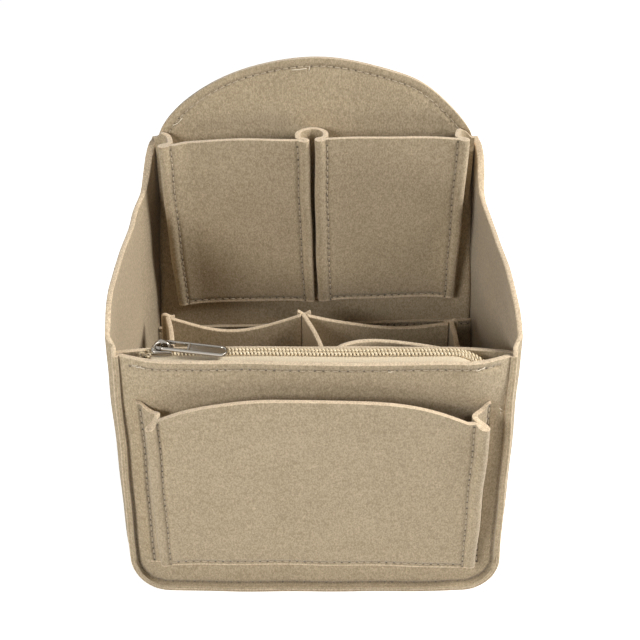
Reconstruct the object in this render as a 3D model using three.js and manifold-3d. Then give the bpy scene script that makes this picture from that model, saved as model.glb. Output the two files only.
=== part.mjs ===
import * as THREE from 'three';
import { mergeVertices } from 'three/addons/utils/BufferGeometryUtils.js';
import Module from 'manifold-3d';

const wasm = await Module();
wasm.setup();

// Felt backpack organizer, millimetres, +Z up, +X to the right, +Y to the back.
// Origin: centre of the space that it fills, on the surface that it stands on.

// Driving sizes of the felt and its seams
const felt = 2.8;
const seat_gap = 0.3;
const margin = 3;
const corner_radius = 20;

// Driving sizes of the bag
const body_width = 200;
const inner_depth = 122.4;
const front_height = 150;
const shoulder_height = 212;
const arch_height = 257.5;
const shoulder_draw_in = 10.7;
const left_corner_bulge = 3.4;
const left_side_bulge = 3;
const right_corner_bulge = 2.8;
const right_side_bulge = 0.6;
const seam_turn = 3;
const front_bow = 11.4;
const foot_bow = 3.2;
const front_bow_edge = 2;

// Driving sizes of the zip pocket
const rear_wall_drop = 2;
const rear_wall_setback = 4.4;
const zip_drop = 1;
const zip_setback = 1.4;
const chain_width = 6;
const chain_slit = 1.8;
const chain_end_gap = 12;
const coil_height = 2;
const tape_thickness = 0.6;
const tape_leg = 8;
const slider_inset = 25;

// Driving sizes of the slider and its pull
const slider_length = 11;
const slider_wall = 0.5;
const plate_thickness = 1.1;
const lower_lip = 0.8;
const slider_clearance = 0.3;
const wedge_width = 1.2;
const wedge_length = 3;
const crown_length = 9;
const crown_width = 2.4;
const crown_bar = 1.2;
const crown_window = 3.2;
const pull_length = 33;
const pull_width = 8.4;
const pull_thickness = 1.3;
const pull_bar = 1.4;
const pull_slot_length = 12;
const pull_slot_width = 5.2;
const pull_yaw = THREE.MathUtils.degToRad(6);

// Driving sizes of the front pocket
const front_pocket_inset = 16;
const front_pocket_foot = 19.5;
const front_pocket_drop = 16;
const front_pocket_fall = 17.9;
const front_pocket_peak_offset = -2;
const front_pocket_wall_drop = 25;
const front_pocket_depth = 10;
const front_pocket_belly = -2;
const front_pocket_foot_width = 2;
const front_pocket_flange = 5;
const front_ridge_lean = 4;

// Driving sizes of the facing on the lower back wall
const back_facing_height = 94;
const back_facing_rise = 3;

// Driving sizes of the two pockets on the back wall
const back_pocket_left_inset = 2.2;
const back_pocket_right_inset = 2.8;
const back_pocket_split = 0.8;
const back_pocket_split_gap = 3.4;
const back_pocket_left_rise = 2.5;
const back_pocket_rise = 6.5;
const back_pocket_length = 107.5;
const back_pocket_foot_rise = 3;
const back_pocket_depth = 16;
const back_pocket_foot_shift = 3;
const back_pocket_corner_fold_inset = 6.2;
const back_ridge_lean = 1.5;
const ridge_width = 6;
const ridge_pinch = 2;
const sewn_slit = 0.3;

// Driving sizes of the dividers
const divider_setback = 84.9;
const divider_foot_gap = 3;
const left_divider_height = 118;
const middle_divider_height = 120.5;
const right_divider_height = 114.5;
const left_scallop = 9.2;
const right_scallop = 5;
const left_divider_inset = 16.5;
const middle_divider_place = -6.3;
const right_divider_inset = 23;
const left_divider_drift = 7.7;
const middle_divider_drift = 14;
const right_divider_drift = 3;
const divider_flange = 7.5;

// Driving sizes of the slip pocket behind the zip pocket
const slip_pocket_inset = 7;
const slip_pocket_drop = 5;
const slip_pocket_foot = 45;
const slip_pocket_bow = 10;

// Shares that shape the curves
const arch_roundness_share = 0.71;
const bulge_fade_share = 0.5;
const bulge_rise_share = 0.55;
const bow_rise_share = 2.5;
const bow_edge_share = 2.5;
const bow_roundness_share = 0.6;
const pocket_fall_share = 3.2;
const pocket_opening_share = 0.9;
const rear_wall_bend_share = 6;
const sewn_curl_share = 4;
const mouth_share = 0.82;
const tail_share = 0.45;

// Counts of flat facets along the pockets
const face_columns = 18;
const pocket_rows = 8;

// Places that follow from the driving sizes
const half_width = body_width / 2;
const front_face = margin;
const front_back_face = front_face + felt;
const back_face = front_back_face + seat_gap + inner_depth;
const strip_depth = back_face + felt + margin;
const floor_top = felt;
const panel_foot = felt + seat_gap;
const rear_wall_face = front_back_face + seat_gap;
const rear_wall_mid_face = rear_wall_face + rear_wall_setback;
const rear_wall_height = front_height - rear_wall_drop;
const zip_level = front_height - zip_drop;
const zip_centre = front_face + zip_setback;
const zip_rest = slider_inset - half_width;
const back_facing_face = back_face - seat_gap - felt;
const divider_face = rear_wall_face + divider_setback;
const left_divider_place = left_divider_inset - half_width;
const right_divider_place = half_width - right_divider_inset;
const slip_pocket_right = right_divider_place - slip_pocket_inset;
const slip_pocket_height = rear_wall_height - slip_pocket_drop;
const front_pocket_half = half_width - front_pocket_inset;
const front_pocket_peak = front_height - front_pocket_drop;
const front_pocket_wall_height = front_height - front_pocket_wall_drop;
const back_pocket_top = shoulder_height + back_pocket_rise;
const back_pocket_top_left = shoulder_height + back_pocket_left_rise;
const back_pocket_foot = back_pocket_top - back_pocket_length;

const lerp = THREE.MathUtils.lerp;
const clamp = THREE.MathUtils.clamp;

// Steepness of the strip's upper edge: shares of its depth and of the rise to the shoulder
const side_edge_depth_shares = [
  0, 0.023, 0.045, 0.07, 0.12, 0.2, 0.34, 0.5, 0.66, 0.78, 0.845, 0.875, 0.905, 0.94, 0.97, 1];
const side_edge_rise_shares = [
  0, 0.075, 0.15, 0.22, 0.31, 0.37, 0.42, 0.45, 0.48, 0.54, 0.63, 0.74, 0.87, 0.95, 0.985, 1];

// Shares of a run: as they come, gathered towards both ends, and a hump that is highest midway
const even = (share) => share;
const spread = (share) => Math.sin((share - 0.5) * Math.PI);
const hump = (share) => Math.sin(share * Math.PI);

// Upper edge of the side, from the front corner up to the shoulder
function sideTop(y) {
  const share = clamp(y / strip_depth, 0, 1);
  const last = side_edge_depth_shares.length - 1;
  let index = 0;
  while (index < last - 1 && side_edge_depth_shares[index + 1] < share) index += 1;
  const low = side_edge_depth_shares[index];
  const high = side_edge_depth_shares[index + 1];
  const between = (share - low) / (high - low);
  const rise = lerp(side_edge_rise_shares[index], side_edge_rise_shares[index + 1], between);
  return lerp(front_height, shoulder_height, rise);
}

// Outer width from the middle to one side, hand -1 or 1: the bag draws in towards the shoulders,
// and each side bulges between its seams
function outerHalf(y, z, hand) {
  const depth = clamp(y / strip_depth, 0, 1);
  const inside = clamp((y - margin) / (strip_depth - 2 * margin), 0, 1);
  const turn = clamp((y - margin) / seam_turn, 0, 1);
  const rise = clamp((z - corner_radius) / (front_height - corner_radius), 0, 1);
  const corner_reach = hand < 0 ? left_corner_bulge : right_corner_bulge;
  const side_reach = hand < 0 ? left_side_bulge : right_side_bulge;
  const corner = corner_reach * turn * (1 - inside) ** bulge_fade_share;
  const side = side_reach * hump(inside);
  const draw_in = shoulder_draw_in * (Math.max(z, 0) / shoulder_height) * depth;
  return half_width - draw_in + (corner + side) * rise ** bulge_rise_share;
}

// Share of the forward bow at a place across the front, none at the side seams
function bowShape(x) {
  const along = clamp(Math.abs(x) / (half_width - front_bow_edge), 0, 1);
  return (1 - along ** bow_edge_share) ** bow_roundness_share;
}

// Outer face of the front panel, which bows forward, most along its upper edge
function frontFace(x, z) {
  const bow = lerp(foot_bow, front_bow, clamp(z / front_height, 0, 1) ** bow_rise_share);
  return front_face - bow * bowShape(x);
}

// Front face of the zip pocket's rear wall: bowed at its foot, level across the middle above,
// and drawn forward into both corners
function rearWallFace(x, z) {
  const along = clamp(Math.abs(x) / half_width, 0, 1);
  const rise = clamp(z / front_height, 0, 1);
  const setback = rear_wall_setback * (1 - along ** rear_wall_bend_share) * rise;
  return rear_wall_face + setback - foot_bow * bowShape(x) * (1 - rise);
}

// Board bent by a function of two shares along its face and one through its thickness
function bentBoard(columns, rows, place) {
  const geometry = new THREE.BoxGeometry(1, 1, 1, columns, rows, 1);
  geometry.deleteAttribute('normal');
  geometry.deleteAttribute('uv');
  const merged = mergeVertices(geometry);
  const position = merged.getAttribute('position');
  const point = new THREE.Vector3();
  for (let index = 0; index < position.count; index += 1) {
    point.fromBufferAttribute(position, index).addScalar(0.5);
    const placed = place(point.x, point.y, point.z);
    position.setXYZ(index, placed.x, placed.y, placed.z);
  }
  return faceOutwards(merged);
}

// Six times the volume inside a closed mesh, negative where its faces point inwards
function signedVolume(geometry) {
  const position = geometry.getAttribute('position');
  const order = geometry.getIndex();
  const a = new THREE.Vector3();
  const b = new THREE.Vector3();
  const c = new THREE.Vector3();
  let total = 0;
  for (let index = 0; index < order.count; index += 3) {
    a.fromBufferAttribute(position, order.getX(index));
    b.fromBufferAttribute(position, order.getX(index + 1));
    c.fromBufferAttribute(position, order.getX(index + 2));
    total += a.dot(b.cross(c));
  }
  return total;
}

function faceOutwards(geometry) {
  if (signedVolume(geometry) > 0) return geometry;
  const order = geometry.getIndex();
  for (let index = 0; index < order.count; index += 3) {
    const first = order.getX(index);
    order.setX(index, order.getX(index + 1));
    order.setX(index + 1, first);
  }
  return geometry;
}

function toSolid(geometry) {
  let source = geometry;
  if (source.getAttribute('normal')) {
    source = source.clone();
    source.deleteAttribute('normal');
    source.deleteAttribute('uv');
    source = mergeVertices(source);
  }
  const vertProperties = new Float32Array(source.getAttribute('position').array);
  const triVerts = new Uint32Array(source.getIndex().array);
  return new wasm.Manifold(new wasm.Mesh({ numProp: 3, vertProperties, triVerts }));
}

function fromSolid(solid) {
  const mesh = solid.getMesh();
  const geometry = new THREE.BufferGeometry();
  geometry.setAttribute('position', new THREE.BufferAttribute(new Float32Array(mesh.vertProperties), 3));
  geometry.setIndex(new THREE.BufferAttribute(new Uint32Array(mesh.triVerts), 1));
  return geometry;
}

function joined(geometries) {
  const solids = geometries.map(toSolid);
  return fromSolid(solids.reduce((whole, solid) => whole.add(solid)));
}

function box(width, depth, height, x, y, z) {
  return new THREE.BoxGeometry(width, depth, height).translate(x, y, z);
}

// Strip that runs down one side, round the lower corners and up the other side
// half(y, z, hand) is its reach to one side, top(y) its upper ends, thickness goes inwards
function uStrip({ half, top, foot, radius, thickness, front, back, rows, depthShare, bow = 0, bowBack = 0 }) {
  const side_columns = 8;
  const corner_columns = 5;
  const foot_columns = 4;
  const columns = 2 * side_columns + 2 * corner_columns + foot_columns;
  const side_share = side_columns / columns;
  const corner_share = corner_columns / columns;
  return bentBoard(columns, rows, (u, v, w) => {
    const hand = u < 0.5 ? -1 : 1;
    const share = Math.min(u, 1 - u);
    const depth_share = depthShare(v);
    const y = lerp(front, back, depth_share);
    const bowed = (x) => y - bowShape(x) * lerp(bow, bowBack, depth_share);
    const inset = thickness * w;
    const corner_x = half(y, foot + radius, hand) - radius;
    const corner_z = foot + radius;
    if (share <= side_share) {
      const z = lerp(top(y), corner_z, share / side_share);
      const x = hand * (half(y, z, hand) - inset);
      return new THREE.Vector3(x, bowed(x), z);
    }
    if (share <= side_share + corner_share) {
      const angle = (Math.PI / 2) * (share - side_share) / corner_share;
      const reach = radius - inset;
      const x = hand * (corner_x + reach * Math.cos(angle));
      return new THREE.Vector3(x, bowed(x), corner_z - reach * Math.sin(angle));
    }
    const run = (share - side_share - corner_share) / (0.5 - side_share - corner_share);
    const x = hand * corner_x * (1 - run);
    return new THREE.Vector3(x, bowed(x), foot + inset);
  });
}

// Lower edge of a panel with rounded lower corners
function panelFoot(x, half, radius, foot) {
  const beyond = Math.max(Math.abs(x) - (half - radius), 0);
  return foot + radius - Math.sqrt(Math.max(radius * radius - beyond * beyond, 0));
}

// One strip of felt makes both sides and the floor
const stripRows = side_edge_depth_shares.length - 1;
const side_base_strip = uStrip({
  half: outerHalf,
  top: sideTop,
  foot: 0,
  radius: corner_radius,
  thickness: felt,
  front: 0,
  back: strip_depth,
  bow: foot_bow,
  rows: stripRows,
  depthShare: (v) => side_edge_depth_shares[Math.round(v * stripRows)],
});

// Front panel, whose margin turns forward along the strip's front edge
const panel_radius = corner_radius - panel_foot;
const front_half = half_width - felt - seat_gap;
const front_sheet = bentBoard(26, 8, (u, v, w) => {
  const x = front_half * spread(u);
  const z = lerp(panelFoot(x, front_half, panel_radius, panel_foot), front_height, v);
  return new THREE.Vector3(x, frontFace(x, z) + felt * w, z);
});
const front_margin = uStrip({
  half: () => front_half,
  top: () => front_height,
  foot: panel_foot,
  radius: panel_radius,
  thickness: felt,
  front: 0,
  back: front_back_face,
  bow: foot_bow,
  bowBack: foot_bow,
  rows: 1,
  depthShare: even,
});
const front_panel = joined([front_sheet, front_margin]);

// Sheet that stands across the bag, its ends along the sides and its lower corners along the bends
function crossSheet({ columns, rows, depth, top, face }) {
  return bentBoard(columns, rows, (u, v, w) => {
    const across = spread(u);
    const hand = Math.sign(across);
    const reach = (z) => outerHalf(depth, Math.max(z, corner_radius), hand) - felt - 2 * seat_gap;
    const foot_half = reach(corner_radius);
    const foot = panelFoot(across * foot_half, foot_half, panel_radius, panel_foot);
    const z = lerp(foot, top(across), v);
    const x = across * reach(z);
    return new THREE.Vector3(x, face(x, z) + felt * w, z);
  });
}

const zip_pocket_rear_wall = crossSheet({
  columns: 26,
  rows: 8,
  depth: rear_wall_face,
  top: () => rear_wall_height,
  face: rearWallFace,
});
const back_wall_facing = crossSheet({
  columns: 20,
  rows: 4,
  depth: back_facing_face,
  top: (across) => back_facing_height + back_facing_rise * across,
  face: () => back_facing_face,
});

// Back panel with the arched top, whose margin turns backwards
const backHalf = (z) => outerHalf(strip_depth, Math.min(z, shoulder_height), 1) - felt - seat_gap;
const back_sheet = bentBoard(28, 10, (u, v, w) => {
  const across = spread(u);
  const crown = (arch_height - shoulder_height) * (1 - across * across) ** arch_roundness_share;
  const foot_half = backHalf(corner_radius);
  const foot = panelFoot(across * foot_half, foot_half, panel_radius, panel_foot);
  const z = lerp(foot, shoulder_height + crown, v);
  return new THREE.Vector3(across * backHalf(Math.max(z, corner_radius)), back_face + felt * w, z);
});
const back_margin = uStrip({
  half: (y, z) => backHalf(Math.max(z, corner_radius)),
  top: () => shoulder_height,
  foot: panel_foot,
  radius: panel_radius,
  thickness: felt,
  front: back_face,
  back: strip_depth,
  rows: 1,
  depthShare: even,
});
const back_panel = joined([back_sheet, back_margin]);

// Closed solid between copies of one outline, stacked from its foot to its top
// place(station, share) gives a station's point at a share of the height
function stackedOutline(stations, rows, place) {
  const count = stations.length;
  const points = [];
  for (let row = 0; row <= rows; row += 1) {
    for (const station of stations) points.push(place(station, row / rows));
  }
  const order = [];
  for (let start = 0; start < rows * count; start += count) {
    for (let index = 0; index < count; index += 1) {
      const here = start + index;
      const next = start + (index + 1) % count;
      order.push(here, next, next + count, here, next + count, here + count);
    }
  }
  const flat = points.map((point) => new THREE.Vector2(point.x, point.y));
  const plan = (start) => flat.slice(start, start + count);
  const roof = rows * count;
  for (const corners of THREE.ShapeUtils.triangulateShape(plan(0), [])) {
    order.push(...corners.toReversed());
  }
  for (const corners of THREE.ShapeUtils.triangulateShape(plan(roof), [])) {
    order.push(...corners.map((corner) => roof + corner));
  }
  const geometry = new THREE.BufferGeometry().setFromPoints(points);
  geometry.setIndex(order);
  return faceOutwards(geometry);
}

// Stations of a bellows pocket, in plan: off is the distance from the wall, and flat that distance
// where the pocket is sewn down
const sewn_layer = (felt + ridge_pinch - sewn_slit) / 3;

function ridgeStations({ hand, tip, root, foot, depth, lean }) {
  const back = depth - felt;
  return {
    outer: [
      { x: foot + hand * felt / 2, off: felt, flat: sewn_layer - sewn_slit, onWall: 1 },
      { x: root + hand * felt / 2, off: back, flat: sewn_layer, shift: 1 },
      { x: tip, off: back + lean, flat: sewn_layer + sewn_slit, shift: 1 },
      { x: tip, off: felt + depth + lean, flat: felt + ridge_pinch, shift: 1 },
      { x: root, off: felt + depth, flat: felt + ridge_pinch, shift: 1 },
    ],
    inner: [
      { x: foot - hand * felt / 2, off: 0, flat: 0, onWall: 1 },
      { x: root - hand * felt / 2, off: depth, flat: sewn_slit, shift: 1 },
    ],
  };
}

function faceStations({ left, right, depth, belly, outer }) {
  const stations = [];
  for (let index = 1; index < face_columns; index += 1) {
    const share = index / face_columns;
    const edge = Math.abs(2 * share - 1);
    const off = depth + belly * (1 - edge * edge) + (outer ? felt : 0);
    const flat = outer ? felt + ridge_pinch * edge ** sewn_curl_share : sewn_slit;
    stations.push({ x: lerp(left, right, share), off, flat, shift: 1 });
  }
  return stations;
}

function pocketStations({ tips, roots, feet, depth, belly, lean }) {
  const left = ridgeStations({ hand: -1, tip: tips[0], root: roots[0], foot: feet[0], depth, lean });
  const right = ridgeStations({ hand: 1, tip: tips[1], root: roots[1], foot: feet[1], depth, lean });
  const span = { left: roots[0], right: roots[1], depth, belly };
  return {
    outer: [...left.outer, ...faceStations({ ...span, outer: true }), ...right.outer.toReversed()],
    inner: [...left.inner, ...faceStations({ ...span, outer: false }), ...right.inner.toReversed()],
  };
}

// Front pocket: its upper edge is arched, and level along the ridges
const front_root = front_pocket_half - ridge_width;
const frontPocketTop = (x) => {
  const away = Math.min(Math.abs(x - front_pocket_peak_offset), front_root) / front_pocket_half;
  return front_pocket_peak - front_pocket_fall * away ** pocket_fall_share;
};
const front_wall_foot = front_pocket_half + front_pocket_foot_width;
const front_flange_tip = front_pocket_half + front_pocket_flange;
const front_stations = pocketStations({
  tips: [-front_pocket_half, front_pocket_half],
  roots: [-front_root, front_root],
  feet: [-front_wall_foot, front_wall_foot],
  depth: front_pocket_depth,
  belly: front_pocket_belly,
  lean: front_ridge_lean,
});
const front_flange = (hand) => [
  { x: hand * front_flange_tip, off: 0, flat: 0, onWall: 1 },
  { x: hand * front_flange_tip, off: felt, flat: sewn_layer - sewn_slit, onWall: 1 },
];
const front_pocket = stackedOutline([
  ...front_flange(-1),
  ...front_stations.outer,
  ...front_flange(1).toReversed(),
  ...front_stations.inner.toReversed(),
], pocket_rows, (station, share) => {
  const top = station.onWall ? front_pocket_wall_height : frontPocketTop(station.x);
  const z = lerp(front_pocket_foot, top, share);
  const off = lerp(station.flat, station.off, share ** pocket_opening_share);
  return new THREE.Vector3(station.x, frontFace(station.x, z) - seat_gap - off, z);
});

// Two pockets on the back wall, folded from one strip that lies on the wall between them
const backPocketFoot = (x) => back_pocket_foot + back_pocket_foot_rise * x / half_width;
const back_pocket_reach = backHalf(back_pocket_top);
const back_pocket_left = back_pocket_reach - back_pocket_left_inset;
const backPocketTop = (x) => {
  const share = clamp(1 + x / back_pocket_left, 0, 1);
  return lerp(back_pocket_top_left, back_pocket_top, share);
};
const back_pocket_right = back_pocket_reach - back_pocket_right_inset;
const back_pocket_corner_fold = back_pocket_reach - back_pocket_corner_fold_inset;
const corner_flange = back_pocket_reach - seat_gap;
const left_split_root = back_pocket_split - back_pocket_split_gap - ridge_width;
const right_split_root = back_pocket_split + ridge_width;
const back_shape = { depth: back_pocket_depth, belly: 0, lean: back_ridge_lean };
const left_stations = pocketStations({
  ...back_shape,
  tips: [-back_pocket_left, back_pocket_split - back_pocket_split_gap],
  roots: [-back_pocket_left + ridge_width, left_split_root],
  feet: [-back_pocket_corner_fold, left_split_root],
});
const right_stations = pocketStations({
  ...back_shape,
  tips: [back_pocket_split, back_pocket_right],
  roots: [right_split_root, back_pocket_right - ridge_width],
  feet: [right_split_root, back_pocket_corner_fold],
});
const back_flange = (hand) => [
  { x: hand * corner_flange, off: 0, flat: 0, onWall: 1 },
  { x: hand * corner_flange, off: felt, flat: sewn_layer - sewn_slit, onWall: 1 },
];
const back_pockets = stackedOutline([
  ...back_flange(-1),
  ...left_stations.outer,
  ...right_stations.outer,
  ...back_flange(1).toReversed(),
  ...right_stations.inner.toReversed(),
  ...left_stations.inner.toReversed(),
], pocket_rows, (station, share) => {
  const z = lerp(backPocketFoot(station.x), backPocketTop(station.x), share);
  const off = lerp(station.flat, station.off, share ** pocket_opening_share);
  const leftward = station.x < 0 && station.shift ? back_pocket_foot_shift : 0;
  return new THREE.Vector3(station.x + leftward * (1 - share), back_face - seat_gap - off, z);
});

// Cross dividers run back from the zip pocket to the rear dividers, and end in a flange behind them
const divider_foot = floor_top + divider_foot_gap;
const divider_back = divider_face + felt;
const flange_face = divider_back + seat_gap;

function crossDivider(place, drift, height) {
  const web_columns = 8;
  const web = bentBoard(web_columns + 1, 4, (u, v, w) => {
    const z = lerp(divider_foot, height, v);
    const start = rearWallFace(place + drift, z) + felt + seat_gap;
    const column = Math.round(u * (web_columns + 1));
    const back_share = Math.min(column / web_columns, 1);
    const y = column <= web_columns ? lerp(start, divider_face, back_share) : flange_face + felt / 2;
    const x = place + drift * (1 - back_share * back_share) + felt * (w - 0.5);
    return new THREE.Vector3(x, y, z);
  });
  const tall = height - divider_foot;
  const flange = box(divider_flange, felt, tall, place, flange_face + felt / 2, divider_foot + tall / 2);
  return joined([web, flange]);
}

const left_divider = crossDivider(left_divider_place, left_divider_drift, left_divider_height);
const middle_divider = crossDivider(middle_divider_place, middle_divider_drift, middle_divider_height);
const right_divider = crossDivider(right_divider_place, right_divider_drift, right_divider_height);

// Rear divider between two cross dividers, its upper edge scooped
function rearDivider(left, right, left_height, right_height, scallop) {
  const from = left + felt / 2 + seat_gap;
  const to = right - felt / 2 - seat_gap;
  return bentBoard(12, 3, (u, v, w) => {
    const top = lerp(left_height, right_height, u) - scallop * hump(u);
    return new THREE.Vector3(lerp(from, to, u), divider_face + felt * w, lerp(divider_foot, top, v));
  });
}

const rear_divider_left = rearDivider(
  left_divider_place, middle_divider_place, left_divider_height, middle_divider_height, left_scallop);
const rear_divider_right = rearDivider(
  middle_divider_place, right_divider_place, middle_divider_height, right_divider_height, right_scallop);

// Slip pocket on the rear wall's back, its mouth bowed open
const slip_left = middle_divider_place + middle_divider_drift + felt / 2 + seat_gap;
const slip_pocket = bentBoard(14, 5, (u, v, w) => {
  const x = lerp(slip_left, slip_pocket_right, u);
  const z = lerp(slip_pocket_foot, slip_pocket_height, v);
  const bow = slip_pocket_bow * hump(u) * v;
  return new THREE.Vector3(x, rearWallFace(x, z) + felt + seat_gap + bow + felt * w, z);
});

// Zip: two tapes sewn inside the pocket's walls, each with half of the coil on its inner edge
const chain_end = half_width - chain_end_gap;
const tape_inner = chain_slit / 2;
const tape_top = zip_level + tape_thickness / 2;
const tape_floor = zip_level - tape_thickness / 2;

function zipTape(hand) {
  const wallAt = (x, z) => (hand < 0
    ? frontFace(x, z) + felt + seat_gap
    : rearWallFace(x, z) - seat_gap);
  const flat = bentBoard(16, 1, (u, v, w) => {
    const x = lerp(-chain_end, chain_end, u);
    const inner = zip_centre + hand * tape_inner;
    return new THREE.Vector3(x, lerp(inner, wallAt(x, zip_level), v), lerp(tape_floor, tape_top, w));
  });
  const leg = bentBoard(16, 1, (u, v, w) => {
    const x = lerp(-chain_end, chain_end, u);
    const z = lerp(tape_top, tape_floor - tape_leg, v);
    return new THREE.Vector3(x, wallAt(x, z) - hand * tape_thickness * w, z);
  });
  return joined([flat, leg]);
}

function zipCoil(hand) {
  const width = (chain_width - chain_slit) / 2;
  const y = zip_centre + hand * (tape_inner + width / 2);
  return box(2 * chain_end, width, coil_height, 0, y, tape_top + coil_height / 2);
}

const zip_tape_front = zipTape(-1);
const zip_tape_rear = zipTape(1);
const zip_coil_front = zipCoil(-1);
const zip_coil_rear = zipCoil(1);

// Slider: two plates joined by a wedge, with side lips over the coil and a crown for the pull
const slider_half = chain_width / 2 + slider_clearance + slider_wall;
const top_plate_floor = tape_top + coil_height + slider_clearance;
const top_plate_roof = top_plate_floor + plate_thickness;
const lower_plate_roof = tape_floor - slider_clearance - lower_lip;
const lower_plate_floor = lower_plate_roof - plate_thickness;
const lip_reach = slider_half - slider_wall / 2;

function plate(length, width, floor, roof, nose) {
  const shape = new THREE.Shape();
  const half = width / 2;
  const back = length / 2;
  const mouth = half * mouth_share;
  const tail = half * tail_share;
  shape.moveTo(back, -mouth);
  shape.lineTo(back, mouth);
  shape.lineTo(back - nose, half);
  shape.lineTo(-back + nose, half);
  shape.quadraticCurveTo(-back, half, -back, tail);
  shape.lineTo(-back, -tail);
  shape.quadraticCurveTo(-back, -half, -back + nose, -half);
  shape.lineTo(back - nose, -half);
  shape.closePath();
  return new THREE.ExtrudeGeometry(shape, { depth: roof - floor, bevelEnabled: false, curveSegments: 5 })
    .translate(zip_rest, zip_centre, floor);
}

// Side view of the crown, an arched bridge whose two feet sink into the plate
function crownProfile() {
  const half = crown_length / 2;
  const inner_half = half - crown_bar;
  const rise = crown_window + crown_bar;
  const sink = slider_wall;
  const shape = new THREE.Shape();
  shape.moveTo(-half, -sink);
  shape.quadraticCurveTo(-half, rise, 0, rise);
  shape.quadraticCurveTo(half, rise, half, -sink);
  shape.lineTo(inner_half, -sink);
  shape.quadraticCurveTo(inner_half, crown_window, 0, crown_window);
  shape.quadraticCurveTo(-inner_half, crown_window, -inner_half, -sink);
  shape.closePath();
  return shape;
}

const nose = slider_length / 4;
const lip_length = slider_length - 2 * nose;
const lips = [-1, 1].flatMap((hand) => {
  const y = zip_centre + hand * lip_reach;
  const upper_floor = tape_top + slider_clearance;
  const lower_roof = tape_floor - slider_clearance;
  const upper_height = top_plate_roof - upper_floor;
  const lower_height = lower_roof - lower_plate_floor;
  return [
    box(lip_length, slider_wall, upper_height, zip_rest, y, upper_floor + upper_height / 2),
    box(lip_length, slider_wall, lower_height, zip_rest, y, lower_plate_floor + lower_height / 2),
  ];
});
const wedge_height = top_plate_roof - lower_plate_floor;
const wedge = box(wedge_length, wedge_width, wedge_height,
  zip_rest - slider_length / 2 + wedge_length / 2, zip_centre, lower_plate_floor + wedge_height / 2);
const crown = new THREE.ExtrudeGeometry(crownProfile(), {
  depth: crown_width, bevelEnabled: false, curveSegments: 8,
}).rotateX(Math.PI / 2).translate(zip_rest, zip_centre + crown_width / 2, top_plate_roof);
const zip_slider = joined([
  plate(slider_length, 2 * slider_half, top_plate_floor, top_plate_roof, nose),
  plate(slider_length, 2 * slider_half, lower_plate_floor, lower_plate_roof, nose),
  ...lips,
  wedge,
  crown,
]);

// Pull: a flat bar with a slot that hangs on the crown, lying on the closed chain and turned to the front
const pull_pivot_height = top_plate_roof + crown_window / 2;
const pull_rest_height = tape_top + coil_height + seat_gap;

function pullOutline() {
  const half = pull_width / 2;
  const end = pull_length - half;
  const shape = new THREE.Shape();
  shape.moveTo(-pull_bar / 2, -half + pull_bar / 2);
  shape.lineTo(0, -half);
  shape.lineTo(end, -half);
  shape.absarc(end, 0, half, -Math.PI / 2, Math.PI / 2, false);
  shape.lineTo(0, half);
  shape.lineTo(-pull_bar / 2, half - pull_bar / 2);
  shape.closePath();
  const slot = new THREE.Path();
  const slot_half = pull_slot_width / 2;
  const slot_start = pull_bar / 2;
  slot.moveTo(slot_start, -slot_half);
  slot.lineTo(slot_start, slot_half);
  slot.lineTo(slot_start + pull_slot_length, slot_half);
  slot.lineTo(slot_start + pull_slot_length, -slot_half);
  slot.closePath();
  shape.holes.push(slot);
  return shape;
}

const pull_drop = pull_pivot_height - pull_thickness / 2 - pull_rest_height;
const pull_tilt = Math.asin(pull_drop / pull_length);
const zip_pull = new THREE.ExtrudeGeometry(pullOutline(), {
  depth: pull_thickness, bevelEnabled: false, curveSegments: 10,
}).translate(0, 0, -pull_thickness / 2).rotateY(pull_tilt).rotateZ(-pull_yaw)
  .translate(zip_rest, zip_centre, pull_pivot_height);

// Materials
const standard = (color, roughness, metalness) => (
  () => new THREE.MeshStandardMaterial({ color, roughness, metalness }));
const felt_material = standard(0xb0a084, 0.95, 0);
const tape_material = standard(0xe3d2ad, 0.8, 0);
const nickel_material = standard(0xb9b8b2, 0.25, 1);

const organizer = new THREE.Group();

function addPiece(name, geometry, material) {
  const mesh = new THREE.Mesh(geometry, material);
  mesh.name = name;
  organizer.add(mesh);
}

addPiece('side_base_strip', side_base_strip, felt_material());
addPiece('front_panel', front_panel, felt_material());
addPiece('back_panel', back_panel, felt_material());
addPiece('zip_pocket_rear_wall', zip_pocket_rear_wall, felt_material());
addPiece('back_wall_facing', back_wall_facing, felt_material());
addPiece('front_pocket', front_pocket, felt_material());
addPiece('back_pockets', back_pockets, felt_material());
addPiece('rear_divider_left', rear_divider_left, felt_material());
addPiece('rear_divider_right', rear_divider_right, felt_material());
addPiece('left_divider', left_divider, felt_material());
addPiece('middle_divider', middle_divider, felt_material());
addPiece('right_divider', right_divider, felt_material());
addPiece('slip_pocket', slip_pocket, felt_material());
addPiece('zip_tape_front', zip_tape_front, tape_material());
addPiece('zip_tape_rear', zip_tape_rear, tape_material());
addPiece('zip_coil_front', zip_coil_front, tape_material());
addPiece('zip_coil_rear', zip_coil_rear, tape_material());
addPiece('zip_slider', zip_slider, nickel_material());
addPiece('zip_pull', zip_pull, nickel_material());

// The origin lies under the middle of the space that the whole organizer fills
const space = new THREE.Box3().setFromObject(organizer, true);
const middle = space.getCenter(new THREE.Vector3());
organizer.position.set(-middle.x, -middle.y, -space.min.z);

export default organizer;
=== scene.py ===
import math

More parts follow.
